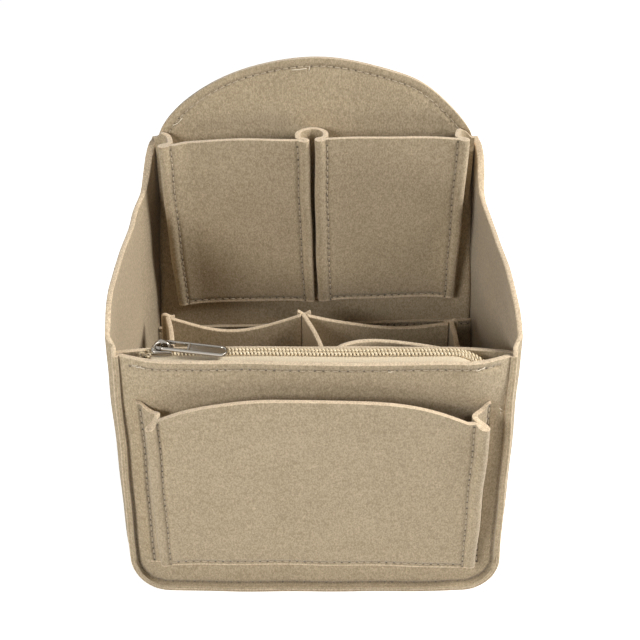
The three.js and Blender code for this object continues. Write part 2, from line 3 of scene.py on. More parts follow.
import bpy
import numpy as np
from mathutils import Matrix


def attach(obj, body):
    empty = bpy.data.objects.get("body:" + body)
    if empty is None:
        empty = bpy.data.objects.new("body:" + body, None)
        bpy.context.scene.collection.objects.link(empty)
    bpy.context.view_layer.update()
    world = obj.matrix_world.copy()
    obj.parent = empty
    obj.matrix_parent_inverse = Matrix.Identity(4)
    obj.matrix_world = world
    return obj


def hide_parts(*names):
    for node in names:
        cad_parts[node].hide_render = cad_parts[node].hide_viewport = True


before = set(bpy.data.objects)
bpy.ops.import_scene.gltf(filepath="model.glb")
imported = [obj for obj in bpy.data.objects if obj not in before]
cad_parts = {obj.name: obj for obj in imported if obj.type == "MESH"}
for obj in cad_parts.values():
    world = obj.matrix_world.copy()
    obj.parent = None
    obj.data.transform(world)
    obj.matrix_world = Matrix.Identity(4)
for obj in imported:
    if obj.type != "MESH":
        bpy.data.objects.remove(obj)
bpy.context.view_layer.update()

# Camera: it looks at the organizer from the front and from above, over its open top. Its lens, place and
# tilt, in degrees from straight down, were fitted to the edges of the panels.
camera_place = (0.0031, -0.5983, 0.4903)
camera_tilt = 59.43
camera_data = bpy.data.cameras.new("camera")
camera_data.sensor_width = 36
camera_data.lens = 73.125
camera = bpy.data.objects.new("camera", camera_data)
camera.location = camera_place
camera.rotation_euler = (math.radians(camera_tilt), 0, 0)
bpy.context.scene.collection.objects.link(camera)
bpy.context.scene.camera = camera
bpy.context.scene.view_settings.view_transform = "Standard"


# Studio: a plain white floor that keeps the organizer's soft shadow, and a white world that is bright only
# where it is looked at or mirrored. A large soft lamp stands at the right, a small one at the left front, and
# a faint one above the front.
lamp_aim = (0, 0, 0.1)


def lamp(name, place, size, watts, tint):
    """A round area lamp at a place, turned towards lamp_aim."""
    data = bpy.data.lights.new(name, "AREA")
    data.shape = "DISK"
    data.size = size
    data.energy = watts
    data.color = tint
    made = bpy.data.objects.new(name, data)
    made.location = place
    aim = np.array(lamp_aim) - np.array(place)
    flat = math.hypot(aim[0], aim[1])
    made.rotation_euler = (math.atan2(flat, -aim[2]), 0, math.atan2(aim[1], aim[0]) - math.pi / 2)
    bpy.context.scene.collection.objects.link(made)


lamp("side_lamp", (0.990, -0.104, 0.936), 0.6, 21.5, (1, 0.975, 0.93))
lamp("front_lamp", (-0.627, -0.863, 0.490), 0.5, 8.1, (1, 0.995, 0.975))
lamp("top_lamp", (0.0, -0.966, 0.970), 0.6, 0.4, (1, 1, 1))


class Socket:
    """One output of a node, with the operators of shader maths: an expression adds the nodes for it."""

    def __init__(self, tree, output):
        self.tree = tree
        self.output = output

    def node(self, kind, settings=None, inputs=None, result=0):
        """Adds a node, sets its settings first and then its sockets, and gives one of its outputs."""
        made = self.tree.nodes.new(kind)
        for name, value in (settings or {}).items():
            setattr(made, name, value)
        for name, value in (inputs or {}).items():
            if isinstance(value, Socket):
                self.tree.links.new(value.output, made.inputs[name])
            else:
                made.inputs[name].default_value = value
        return Socket(self.tree, made.outputs[result])

    def outputs(self):
        """All outputs of this socket's own node."""
        return [Socket(self.tree, output) for output in self.output.node.outputs]

    def math(self, operation, *values):
        """A Math node of that operation on the values."""
        return self.node("ShaderNodeMath", {"operation": operation}, dict(enumerate(values)))

    def __add__(self, other):
        return self.math("ADD", self, other)

    def __radd__(self, other):
        return self.math("ADD", other, self)

    def __sub__(self, other):
        return self.math("SUBTRACT", self, other)

    def __rsub__(self, other):
        return self.math("SUBTRACT", other, self)

    def __mul__(self, other):
        return self.math("MULTIPLY", self, other)

    def __rmul__(self, other):
        return self.math("MULTIPLY", other, self)

    def __truediv__(self, other):
        return self.math("DIVIDE", self, other)

    def ramp(self, low, high):
        """0 below low and 1 above high, with an eased run between; the other way round if high is lower."""
        flip = low > high
        run = {"Value": self, "From Min": min(low, high), "From Max": max(low, high),
               "To Min": float(flip), "To Max": float(not flip)}
        return self.node("ShaderNodeMapRange", {"interpolation_type": "SMOOTHSTEP"}, run)

    def mixed(self, first, second):
        """The first colour where this is 0 and the second where it is 1."""
        first, second = (value if isinstance(value, Socket) else (*value, 1) for value in (first, second))
        return self.node("ShaderNodeMix", {"data_type": "RGBA"}, {0: self, 6: first, 7: second}, 2)

    def noise(self, scale, detail, **more):
        """Noise read at these coordinates."""
        return self.node("ShaderNodeTexNoise", {}, {"Vector": self, "Scale": scale, "Detail": detail, **more})

    def waves(self, bands, scale, **more):
        """Waves read at these coordinates, with bands across one of the axes or across all three."""
        inputs = {"Vector": self, "Scale": scale, **more}
        return self.node("ShaderNodeTexWave", {"bands_direction": bands}, inputs)

    def bump(self, strength):
        """The normal that this height, in metres, gives a surface."""
        return self.node("ShaderNodeBump", {}, {"Height": self, "Strength": strength, "Distance": 1.0})


def new_material(name, roughness, **constants):
    """A material with one Principled shader: gives it, its shader and a socket with Object coordinates."""
    material = bpy.data.materials.new(name)
    material.use_nodes = True
    shader = material.node_tree.nodes["Principled BSDF"]
    shader.inputs["Roughness"].default_value = roughness
    for key, value in constants.items():
        shader.inputs[key.replace("_", " ")].default_value = value
    coordinates = material.node_tree.nodes.new("ShaderNodeTexCoord")
    return material, shader, Socket(material.node_tree, coordinates.outputs["Object"])


def plug(socket, shader, name):
    """Feeds a socket into one of a shader's inputs."""
    socket.tree.links.new(socket.output, shader.inputs[name])


def seen_rays(tree):
    """1 on rays from the camera, off polished metal and through clear things, and 0 on all others: the sum
    of the three tests."""
    path = tree.nodes.new("ShaderNodeLightPath")
    seen, mirrored, passed = (
        Socket(tree, path.outputs[f"Is {kind} Ray"]) for kind in ("Camera", "Glossy", "Transmission"))
    return seen + mirrored + passed


dim_world = 0.01
world = bpy.data.worlds.new("studio")
world.use_nodes = True
bpy.context.scene.world = world
world_light = world.node_tree.nodes["Background"]
world_light.inputs["Color"].default_value = (1, 1, 1, 1)
plug(seen_rays(world.node_tree) * (1 - dim_world) + dim_world, world_light, "Strength")

floor_reach = 3.0
floor_grey = 0.8
floor_mesh = bpy.data.meshes.new("floor")
floor_mesh.from_pydata(
    [(x * floor_reach, y * floor_reach, 0) for x, y in ((-1, -1), (1, -1), (1, 1), (-1, 1))],
    [], [(0, 1, 2, 3)])
floor = bpy.data.objects.new("floor", floor_mesh)
bpy.context.scene.collection.objects.link(floor)
floor_material, floor_shader, _ = new_material("white_floor", 0.9)
floor_shader.inputs["Base Color"].default_value = (floor_grey, floor_grey, floor_grey, 1)
floor_shader.inputs["Specular IOR Level"].default_value = 0
floor_shader.inputs["Emission Strength"].default_value = 0.8
plug(seen_rays(floor_material.node_tree).mixed((0, 0, 0), (1, 1, 1)), floor_shader, "Emission Color")
floor_mesh.materials.append(floor_material)


# Side and base strip: one long strip of pressed felt, 2.8 mm thick, that makes the left side, the floor and
# the right side. Its upper edges swoop from the front up to the shoulders, and the front and the back
# panel are sewn to its long edges. From here on lengths are millimetres, from the middle of the front seam.
felt = 2.8
seat_gap = 0.3
margin = 3.0
corner_radius = 20.0
half_width = 100.0
front_height = 150.0
shoulder_height = 212.0
inner_depth = 122.4
front_back_face = margin + felt
back_face = front_back_face + seat_gap + inner_depth
strip_depth = back_face + felt + margin


def lerp(low, high, share):
    """Low where the share is 0, high where it is 1, and in step with it between."""
    return low + (high - low) * share


def eased(share):
    """0 up to 0 and 1 from 1 on, with 3 s squared minus 2 s cubed between."""
    share = np.clip(share, 0, 1)
    return share * share * (3 - 2 * share)


def side_top(y):
    """Upper edge of a side: its heights at a few places of its depth, rounded by a running mean."""
    depths = [0, 0.023, 0.045, 0.07, 0.12, 0.2, 0.34, 0.5, 0.66, 0.78, 0.84, 0.865, 0.89, 0.92, 0.95, 1]
    rises = [0, 0.075, 0.15, 0.22, 0.31, 0.37, 0.42, 0.45, 0.48, 0.535, 0.585, 0.66, 0.80, 0.91, 0.96, 0.985]
    fine = np.linspace(0, 1, 401)
    reach = 6
    padded = np.pad(np.interp(fine, depths, rises), reach, "reflect", reflect_type="odd")
    bell = np.hanning(2 * reach + 3)[1:-1]
    smooth = np.convolve(padded, bell / bell.sum(), "valid")
    return lerp(front_height, shoulder_height, np.interp(np.clip(y / strip_depth, 0, 1), fine, smooth))


def outer_half(y, z, hand):
    """Reach of a side from the middle: half the width, less a draw-in that grows with height and depth,
    plus a bulge behind the front seam, a slow one between the seams and, on the left, one below the
    shoulder."""
    depth = np.clip(y / strip_depth, 0, 1)
    inside = np.clip((y - margin) / (strip_depth - 2 * margin), 0, 1)
    turn = np.clip((y - margin) / 3, 0, 1)
    rise = np.clip((z - corner_radius) / (front_height - corner_radius), 0, 1)
    corner = np.where(hand < 0, 3.4, 2.8) * turn * (1 - inside) ** 0.5
    side = np.where(hand < 0, 3.0, 0.6) * np.sin(np.pi * inside)
    draw_in = 10.7 * np.maximum(z, 0) / shoulder_height * depth
    below = np.where(hand < 0, 1.9, 0.0) * np.exp(-((depth - 0.75) / 0.12) ** 2) * rise
    return half_width - draw_in + (corner + side) * rise ** np.where(hand < 0, 0.38, 0.55) + below


def bow_shape(x):
    """Share of a forward bow across the front: 1 in the middle, none at the side seams."""
    along = np.clip(np.abs(x) / (half_width - 2), 0, 1)
    return (1 - along ** 2.5) ** 0.6


def ripple(points):
    """Slow ripples of sewn felt, a third of a millimetre high and 40 to 90 mm long, calm along the zip."""
    x, y, z = points[..., 0], points[..., 1], points[..., 2]
    calm = np.exp(-((z - 149) / 12) ** 2) * np.exp(-((y - 3) / 14) ** 2)
    height = 0.34 * (1 - calm)
    along_x = np.sin(z / 9.3 + y / 17 + 0.6) * np.sin(y / 12.5 - z / 31 + 1.9)
    along_y = np.sin(x / 11.2 + z / 14 + 2.2) * np.sin(z / 16.5 - x / 23 + 0.4)
    along_z = np.sin(x / 8.7 + y / 13 + 4.1) * 0.6
    lift = np.clip(z / 12, 0, 1)
    return points + np.stack([along_x * height, along_y * height, along_z * height * lift], -1)


frame_shift = np.array([0.404, -57.989, 0])


def in_frame(points):
    """Millimetres from the front seam become metres from the middle of the organizer's foot."""
    return (ripple(points) + frame_shift) / 1000


def lines(length, step, dense=(), fine=0.5):
    """Shares of a run, about one step apart, and closer within each dense stretch (middle, half reach)."""
    places = [np.linspace(0, length, max(int(round(length / step)), 1) + 1)]
    for middle, reach in dense:
        places[0] = places[0][(np.abs(places[0] - middle) > reach) | (places[0] == 0) | (places[0] == length)]
    for middle, reach in dense:
        low, high = max(middle - reach, 0), min(middle + reach, length)
        places.append(np.linspace(low, high, max(int(round((high - low) / fine)), 1) + 1))
    every = np.unique(np.round(np.concatenate(places), 4))
    keep = np.concatenate([[True], np.diff(every) > fine * 0.4])
    keep[-1] = True
    return every[keep] / length


def unit(vectors):
    """The vectors, each divided by its length."""
    return vectors / np.maximum(np.linalg.norm(vectors, axis=-1, keepdims=True), 1e-9)


def lengths_along(run):
    """How far along a polyline each of its points lies: the running sum of the lengths of its steps."""
    return np.concatenate([[0], np.cumsum(np.linalg.norm(np.diff(run, axis=0), axis=1))])


def nearest_on(points, run):
    """Distance from each point to a polyline, and how far along it the nearest place is."""
    flat = points.reshape(-1, 3)
    steps = np.diff(run, axis=0)
    lengths = np.linalg.norm(steps, axis=1)
    best = np.full(len(flat), 1e9)
    place = np.zeros(len(flat))
    for start, step, length, before in zip(run, steps, lengths, lengths_along(run)):
        share = np.clip(((flat - start) @ step) / (length * length), 0, 1)
        away = np.linalg.norm(flat - start - share[:, None] * step, axis=1)
        closer = away < best
        best = np.where(closer, away, best)
        place = np.where(closer, before + share * length, place)
    return best.reshape(points.shape[:-1]), place.reshape(points.shape[:-1])


def felt_finish(name, light, dark, pitch):
    """Pressed felt: fine speckled nap on slow blotches, and along the seams stitch holes and a soft groove,
    dented in by the bump and darkened with painted shade. The seam attribute holds the place along the
    nearest seam, the distance from it, both in millimetres, and how strong its groove's dent and painted
    shade are. A hole is an oval: the root of the sum of its two shares squared, eased off round 1."""
    hole_long, hole_wide = 0.8, 0.7
    material, shader, place = new_material(name, 0.95, Specular_IOR_Level=0.25, Sheen_Weight=0.3,
                                           Sheen_Roughness=0.5)
    combed = place.node("ShaderNodeVectorMath", {"operation": "MULTIPLY"}, {0: place, 1: (1, 1, 0.6)})
    nap = combed.noise(1250, 3, Roughness=0.75)
    tuft = place.noise(430, 2, Roughness=0.6)
    blotch = place.noise(38, 3, Roughness=0.55)
    fleck = place.noise(700, 1, Distortion=1.5)
    tone = (nap - 0.5) * 2.55 + (tuft - 0.5) * 0.5 + (blotch - 0.5) * 0.28 + 0.5
    colour = tone.ramp(0.0, 1.0).mixed(dark, light)
    pale = tuple(min(1, channel * 1.35) for channel in light)
    colour = (fleck.ramp(0.66, 0.78) * 0.5).mixed(colour, pale)
    seam = place.node("ShaderNodeAttribute", {"attribute_name": "seam"}, {}, "Vector")
    along, away, shows = seam.node("ShaderNodeSeparateXYZ", {}, {"Vector": seam}).outputs()
    phase = along.math("FRACT", along / pitch + 0.5) - 0.5
    hole_run = phase * pitch / hole_long
    hole_reach = away / hole_wide
    hole = along.math("SQRT", hole_run * hole_run + hole_reach * hole_reach).ramp(1.25, 0.5)
    groove = away.ramp(1.7, 0.2) * shows
    # Painted shade: a darkened copy of the felt's dark tone is mixed into the seam grooves and the stitch
    # holes, standing in for the shade that falls into them.
    shade = tuple(channel * 0.16 for channel in dark)
    colour = (groove * 0.2).mixed(colour, shade)
    colour = (hole * 0.8).mixed(colour, shade)
    plug(colour, shader, "Base Color")
    height = (nap - 0.5) * 0.00016 + (tuft - 0.5) * 0.00022 - hole * 0.0006 - groove * 0.00035
    plug(height.bump(0.6), shader, "Normal")
    return material


stitch_pitch = 4.0
face_felt = felt_finish("felt_face", (0.55, 0.445, 0.305), (0.33, 0.256, 0.160), stitch_pitch)
# The cut edges' felt is a paler copy of the face felt: painted light, for edges that catch more light than
# the faces.
painted_light_edge_felt = felt_finish("felt_cut_edge_painted_light", (0.80, 0.66, 0.48), (0.52, 0.40, 0.27), stitch_pitch)


def facing_out(points, quads):
    """The faces a, b, c, d of a closed form, turned round if the volume that they enclose, which is the sum
    of a . (b x c) + a . (c x d), is below nought."""
    a, b, c, d = points[quads].transpose(1, 0, 2)
    volume = np.einsum("ij,ij->", a, np.cross(b, c)) + np.einsum("ij,ij->", a, np.cross(c, d))
    return quads if volume > 0 else quads[:, ::-1]


def fill_mesh(name, points, quads, materials, kinds=None):
    """Puts points, in metres, and four-cornered faces into a new mesh, its faces pointing outwards. kinds
    says which of the materials each face has."""
    quads = facing_out(points, quads)
    mesh = bpy.data.meshes.new(name)
    mesh.vertices.add(len(points))
    mesh.vertices.foreach_set("co", points.astype(np.float32).ravel())
    mesh.loops.add(quads.size)
    mesh.loops.foreach_set("vertex_index", quads.astype(np.int32).ravel())
    mesh.polygons.add(len(quads))
    mesh.polygons.foreach_set("loop_start", np.arange(0, quads.size, 4, dtype=np.int32))
    mesh.polygons.foreach_set("loop_total", np.full(len(quads), 4, dtype=np.int32))
    if kinds is not None:
        mesh.polygons.foreach_set("material_index", kinds.astype(np.int32))
    mesh.update(calc_edges=True)
    mesh.validate()
    mesh.shade_smooth()
    for material in materials:
        mesh.materials.append(material)
    made = bpy.data.objects.new(name, mesh)
    bpy.context.scene.collection.objects.link(made)
    return made


def grid_quads(ids):
    """Four-cornered faces between neighbours in a grid of vertex numbers."""
    return np.stack([ids[:-1, :-1], ids[:-1, 1:], ids[1:, 1:], ids[1:, :-1]], -1).reshape(-1, 4)


def sheet_quads(rows, columns):
    """Faces of a closed sheet between two grids of points, which are numbered one after the other: its two
    broad faces, and its cut edges at the first row, last row, first column and last column."""
    front = np.arange(rows * columns).reshape(rows, columns)
    back = front + rows * columns
    edges = ((front[0], back[0]), (back[-1], front[-1]),
             (back[:, 0], front[:, 0]), (front[:, -1], back[:, -1]))
    rims = [grid_quads(np.stack([far, near])) for near, far in edges]
    return [grid_quads(front), grid_quads(back)[:, ::-1]], rims


seam_far = 50.0
# Strength of the deep seams: it deepens their dent and darkens their painted shade.
deep_groove_and_shade = 2.4


def add_seam_attribute(made, points, seams, deep):
    """Gives each vertex its place along the nearest seam, its distance from it and how strong its groove's
    dent and painted shade are: 1, or the stronger deep value for the seams from number deep on."""
    values = np.zeros((len(points), 3))
    values[:, 1] = seam_far
    for number, run in enumerate(seams):
        away, along = nearest_on(points, run)
        closer = away < values[:, 1]
        strength = np.full(len(points), deep_groove_and_shade if number >= deep else 1.0)
        values[closer] = np.stack([along, away, strength], -1)[closer]
    attribute = made.data.attributes.new("seam", "FLOAT_VECTOR", "POINT")
    attribute.data.foreach_set("vector", values.astype(np.float32).ravel())


round_edge = 0.55
press_depth, press_wave, press_reach = 0.5, 0.22, 1.2


def felt_piece(name, nodes, outer, inner, seams=(), flat=None, held="stretched", rests_on=("floor",),
               with_pieces=(), pale_foot=0, deep=99, plain_edges=()):
    """A closed sheet between two grids of points, its cut edges a second material with rounded corners: a
    paler copy of the felt, which paints light on the edges and their corners. The seams press both faces in
    by press_depth less press_wave times the cosine of the place in the stitch, all times exp(-(distance /
    press_reach) squared). The first rows of the outer face, as many as pale_foot, take the paler felt as
    well, a painted pale line of light along the foot; plain_edges are cut edges, numbered as first row, last
    row, first column and last column, that keep the tone of the faces, without painted light. deep is the
    number of the first seam whose groove has the deeper dent and the darker painted shade."""
    sides = []
    for grid, other in ((outer, inner), (inner, outer)):
        pressed = np.zeros(grid.shape[:2])
        for run in seams:
            away, along = nearest_on(grid, run)
            pucker = press_depth - press_wave * np.cos(2 * np.pi * along / stitch_pitch)
            pressed = np.maximum(pressed, pucker * np.exp(-((away / press_reach) ** 2)))
        sides.append(grid + unit(other - grid) * pressed[..., None])
    points = np.concatenate([side.reshape(-1, 3) for side in sides])
    faces, rims = sheet_quads(*outer.shape[:2])
    kinds = np.concatenate([np.zeros(2 * len(faces[0]))] + [
        np.full(len(rim), 0.0 if number in plain_edges else 1.0) for number, rim in enumerate(rims)])
    # Painted light: the lowest rows of the outer face take the paler edge felt, a pale line along the foot.
    kinds[:pale_foot * (outer.shape[1] - 1)] = 1
    made = fill_mesh(name, in_frame(points), np.concatenate(faces + rims), (face_felt, painted_light_edge_felt), kinds)
    add_seam_attribute(made, points, seams, deep)
    bevel = made.modifiers.new("worn_edge_painted_light", "BEVEL")
    bevel.width = round_edge / 1000
    bevel.segments = 2
    # The rounded corners take the paler edge felt too: painted light.
    bevel.material = 1
    bevel.limit_method = "ANGLE"
    bevel.angle_limit = math.radians(50)
    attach(made, "bag")
    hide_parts(*nodes)
    return made


def round_strip(run, y, inset, half, top, foot, radius, bow):
    """A strip down one side, round the lower corner, along the floor, and up again. run goes from -3 to 3:
    the outer thirds are the sides, the next ones quarter circles of the radius, the middle the floor."""
    hand = np.where(run < 0, -1.0, 1.0)
    stage = 3 - np.abs(run)
    corner_z = foot + radius
    corner_x = half(y, np.full_like(run, corner_z), hand) - radius
    side_z = lerp(top(y), corner_z, np.clip(stage, 0, 1))
    side_x = half(y, side_z, hand) - inset
    angle = np.clip(stage - 1, 0, 1) * np.pi / 2
    bend_x = corner_x + (radius - inset) * np.cos(angle)
    bend_z = corner_z - (radius - inset) * np.sin(angle)
    floor_x = corner_x * (1 - np.clip(stage - 2, 0, 1))
    x = np.where(stage < 1, side_x, np.where(stage < 2, bend_x, floor_x)) * hand
    z = np.where(stage < 1, side_z, np.where(stage < 2, bend_z, foot + inset))
    return np.stack([x, y - bow * bow_shape(x), z], -1)


def strip_stages(on_side, on_bend, on_floor):
    """The run of a strip from -3 to 3, with so many places on each side, bend and half of the floor."""
    half_run = np.concatenate([np.linspace(0, 1, on_side + 1)[:-1], np.linspace(1, 2, on_bend + 1)[:-1],
                               np.linspace(2, 3, on_floor)]) - 3
    return np.concatenate([half_run, -half_run[-2::-1]])


foot_bow = 3.2
strip_run = strip_stages(65, 14, 31)
strip_y = strip_depth * lines(strip_depth, 2.4, [(0, 6), (strip_depth, 6)], 1.0)
run_grid, y_grid = np.meshgrid(strip_run, strip_y)
strip_bow = foot_bow * (1 - y_grid / strip_depth)


def swollen_half(y, z, hand):
    """Reach of the outer face, which swells by 1.3 mm towards the shoulder's seam."""
    return outer_half(y, z, hand) + 1.3 * eased((y / strip_depth - 0.8) / 0.12) * eased((z - 165) / 30)


edge_thinned = 0.6
strip_inner = felt - edge_thinned * np.exp(-(y_grid / 7) ** 2)
strip_sides = [
    round_strip(run_grid, y_grid, inset, half, side_top, 0.0, corner_radius, strip_bow)
    for inset, half in ((0 * y_grid, swollen_half), (strip_inner, outer_half))]
felt_piece("side_base_strip_felt", ["side_base_strip"], *strip_sides, flat=(0.134, 0.578), held="folded",
           plain_edges=(0,))


# Front panel: a rectangle of felt with round lower corners. Its margin is turned forward and sewn edge to
# edge to the strip's front edge, so a stitched groove runs round it; its top edge is topstitched to the zip.
bend = 2.2
margin_felt = 1.4
strip_edge = felt - edge_thinned
seam_sink = 0.15
top_bow = 11.4


def front_face(x, z):
    """Depth of the front panel's outer face: it bows forward by foot_bow at its foot and top_bow at its top,
    where four bell-shaped waves, 1 to 3 mm high, run down from the zip."""
    bow = lerp(foot_bow, top_bow, np.clip(z / front_height, 0, 1) ** 2.5)
    waves = (2.0 * np.exp(-((x + 34) / 20) ** 2) + np.exp(-((x - 2) / 16) ** 2)
             - 1.5 * np.exp(-((x + 77) / 12) ** 2) - 3.0 * np.exp(-((x - 79) / 14) ** 2))
    return margin - bow * bow_shape(x) + waves * eased((z - 112) / 32)


def turned_margin(x, z, half, foot, radius, turn):
    """Where a point of a flat sheet goes when its border is bent over. The depth inside the rounded border
    is worked out first; a point past the bend line by a goes sideways to r sin(a / r) and outwards by
    r (1 - cos(a / r)) round a bend of radius r, and straight out after a quarter turn."""
    hand = np.where(x < 0, -1.0, 1.0)
    across = np.abs(x)
    in_corner = (across > half - radius) & (z < foot + radius)
    away_x, away_z = across - (half - radius), (foot + radius) - z
    reach = np.maximum(np.hypot(away_x, away_z), 1e-6)
    depth = np.where(in_corner, radius - reach, np.minimum(half - across, z - foot))
    side_first = half - across < z - foot
    out_x = np.where(in_corner, away_x / reach, np.where(side_first, 1.0, 0.0))
    out_z = np.where(in_corner, -away_z / reach, np.where(side_first, 0.0, -1.0))
    past = turn - depth
    angle = np.clip(past / bend, 0, np.pi / 2)
    beyond = np.maximum(past - bend * np.pi / 2, 0)
    sideways = np.where(past > 0, bend * np.sin(angle) - past, 0)
    outwards = np.where(past > 0, bend * (1 - np.cos(angle)) + beyond, 0)
    return hand * (across + out_x * sideways), z + out_z * sideways, outwards


def flat_foot(x, half, foot, radius):
    """Lower edge of a sheet with round lower corners: level, and a quarter circle at each end."""
    beyond = np.maximum(np.abs(x) - (half - radius), 0)
    return foot + radius - np.sqrt(np.maximum(radius * radius - beyond * beyond, 0))


def normals_of(grid):
    """Unit normals of a grid of points, from the cross product of its two runs."""
    return unit(np.cross(np.gradient(grid, axis=1), np.gradient(grid, axis=0)))


def board(middle, thickness=felt):
    """The two faces of a sheet: its middle surface moved by half its thickness along its normals."""
    shift = normals_of(middle) * (np.asarray(thickness) / 2)
    return middle + shift, middle - shift


# The turned margin is the bend and a straight piece; the flat sheet is larger by what the bend takes up.
margin_straight = 2.2
margin_length = bend * np.pi / 2 + margin_straight
flat_grow = margin_length - bend
front_mid_half = half_width - strip_edge + seam_sink - margin_felt / 2
front_flat_half = front_mid_half + flat_grow
front_flat_foot = half_width - front_mid_half - flat_grow
front_radius = corner_radius - front_flat_foot
front_flat_height = front_height - front_flat_foot
flat_x = lerp(-front_flat_half, front_flat_half,
              lines(2 * front_flat_half, 2.4, [(0, 12), (2 * front_flat_half, 12)], 0.8))
flat_v = lines(front_flat_height, 2.4, [(0, 12), (front_flat_height - 4, 4)], 0.8)
x_grid, v_grid = np.meshgrid(flat_x, flat_v)
z_grid = lerp(flat_foot(x_grid, front_flat_half, front_flat_foot, front_radius), front_height, v_grid)
panel_x, panel_z, panel_out = turned_margin(
    x_grid, z_grid, front_flat_half, front_flat_foot, front_radius, margin_length)
panel_y = front_face(panel_x, panel_z) + felt / 2 - panel_out
panel_y = np.where(panel_out > 0, np.maximum(panel_y, -foot_bow * bow_shape(panel_x)), panel_y)
front_middle = np.stack([panel_x, panel_y, panel_z], -1)


def bar_quads(bars, rings):
    """Faces of six-sided bars whose points are numbered bar by bar and ring by ring, with closed ends."""
    ids = np.arange(bars * rings * 6).reshape(bars, rings, 6)
    wrapped = np.concatenate([ids, ids[:, :, :1]], 2)
    near, far = wrapped[:, :-1], wrapped[:, 1:]
    around = np.stack([near[:, :, :-1], near[:, :, 1:], far[:, :, 1:], far[:, :, :-1]], -1)
    ends = (ids[:, 0, ::-1], ids[:, -1])
    caps = [end[:, picks] for end in ends for picks in ([0, 1, 2, 3], [0, 3, 4, 5])]
    return np.concatenate([around.reshape(-1, 4), *caps])


def joined(parts):
    """Puts closed parts, each its points and its faces, one after the other into one."""
    before = np.cumsum([0] + [len(points) for points, _ in parts])
    points = np.concatenate([points for points, _ in parts])
    return points, np.concatenate([quads + count for (_, quads), count in zip(parts, before)])


def read_off(rows, places, at):
    """The rows read off at other places than their own, in step between neighbours."""
    return np.stack([np.interp(at, places, column) for column in rows.T], -1)


six_sides = np.linspace(0, 2 * np.pi, 7)[:-1]
thread_radius = 0.23
stitch_gap = 1.2


def stitches(name, runs, outwards):
    """Thread stitches along the runs: each is a six-sided bar that rises out of the felt and dives back in,
    so that its height over the felt is a half wave along its length. outwards gives the felt's outward
    direction."""
    share = np.linspace(0, 1, 6)
    tall = np.sin(np.pi * share)
    bars = []
    for run, out in zip(runs, outwards):
        lengths = lengths_along(run)
        starts = np.arange(0, int(lengths[-1] // stitch_pitch)) * stitch_pitch + stitch_gap / 2
        along = starts[:, None] + share * (stitch_pitch - stitch_gap)
        centre = read_off(run, lengths, along)
        up = np.broadcast_to(np.array(out, float), centre.shape)
        side = np.cross(up, unit(np.gradient(centre, axis=1)))
        centre = centre + up * (tall * 0.42 - 0.5)[:, None]
        width = thread_radius * (0.75 + 0.25 * tall)[:, None, None]
        ring = centre[:, :, None] + width * (side[:, :, None] * np.cos(six_sides)[:, None]
                                             + up[:, :, None] * np.sin(six_sides)[:, None])
        bars.append((ring.reshape(-1, 3), bar_quads(len(starts), len(share))))
    points, quads = joined(bars)
    made = fill_mesh(name, in_frame(points), quads, [thread_finish])
    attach(made, "bag")


thread_finish, thread_shader, thread_place = new_material("sewing_thread", 0.6, Sheen_Weight=0.3)
thread_twist = thread_place.waves("DIAGONAL", 900, Distortion=1)
plug(thread_twist.mixed((0.42, 0.34, 0.24), (0.64, 0.54, 0.40)), thread_shader, "Base Color")

top_row_half, top_row_drop = 91, 4.0
top_row_x = np.linspace(-top_row_half, top_row_half, 92)
top_row_z = front_height - top_row_drop + 0.5 * np.sin(top_row_x / 60)
front_top_row = np.stack([top_row_x, front_face(top_row_x, top_row_z), top_row_z], -1)


def groove_reach(y, z, hand):
    """Reach of the groove round the front panel: the middle of its margin, and half the margin's felt."""
    return np.full_like(z, front_mid_half + margin_felt / 2)


def groove_top(y):
    """Where the groove ends: level, a millimetre under the panel's top edge."""
    return front_height - 1 + 0 * y


# The seam lies in the groove: down one side, round the lower corners and up the other.
groove_depth = 3.6
groove_stages = strip_stages(39, 11, 40)
front_groove = round_strip(groove_stages, np.full_like(groove_stages, groove_depth), margin_felt + 0.5,
                           groove_reach, groove_top, strip_edge, corner_radius - strip_edge,
                           foot_bow * np.ones_like(groove_stages))
front_seams = [front_top_row, front_groove]


def panel_thickness(out):
    """Thickness of a panel, thinner where its margin is turned out."""
    return lerp(felt, margin_felt, eased(out / 2.5))[..., None]


felt_piece("front_panel_felt", ["front_panel"], *board(front_middle, panel_thickness(panel_out)),
           seams=front_seams, flat=(0.203, 0.152), deep=1, plain_edges=(0, 2, 3))
stitches("front_panel_topstitch", [front_top_row], [(0, -1, 0)])


# Back panel: one felt sheet with an arched top, its margins turned backwards and sewn to the strip's rear
# edge up to the shoulders. A row of topstitching follows the arch.
arch_rise = 45.5


def back_half(z):
    """Reach of the back panel's cut edge: the strip's inner face, into which it sinks a little."""
    held_in = np.clip(z, corner_radius, shoulder_height)
    return outer_half(np.full_like(z, strip_depth), held_in, np.ones_like(z)) - felt + seam_sink


def back_arch(across):
    """Height of the arch over the shoulder: its rise times (1 - across squared) to the power 0.71, and
    1.4 mm fuller on the right."""
    across = np.clip(across, -1, 1)
    return arch_rise * (1 - across ** 2) ** 0.71 + 1.4 * np.exp(-((across - 0.68) / 0.17) ** 2)


back_height = shoulder_height + arch_rise
back_across = np.sin(np.linspace(-np.pi / 2, np.pi / 2, 113))
back_v = lines(back_height, 2.4, [(0, 10), (back_height, 5)], 0.9)
a_grid, v_grid = np.meshgrid(back_across, back_v)
back_foot = felt - seam_sink + margin_felt / 2 - flat_grow
back_radius = corner_radius - back_foot
back_foot_half = back_half(np.array([corner_radius]))[0] - margin_felt / 2 + flat_grow
z_grid = lerp(flat_foot(a_grid * back_foot_half, back_foot_half, back_foot, back_radius),
              shoulder_height + back_arch(a_grid), v_grid)
above = eased((z_grid - 202) / 9)
back_reach = back_half(z_grid) + (flat_grow - margin_felt / 2) * (1 - above)
panel_x, panel_z, panel_out = turned_margin(
    a_grid * back_reach, z_grid, back_reach, back_foot, back_radius, margin_length * (1 - above))
back_middle = np.stack([panel_x, back_face + felt / 2 + panel_out, panel_z], -1)

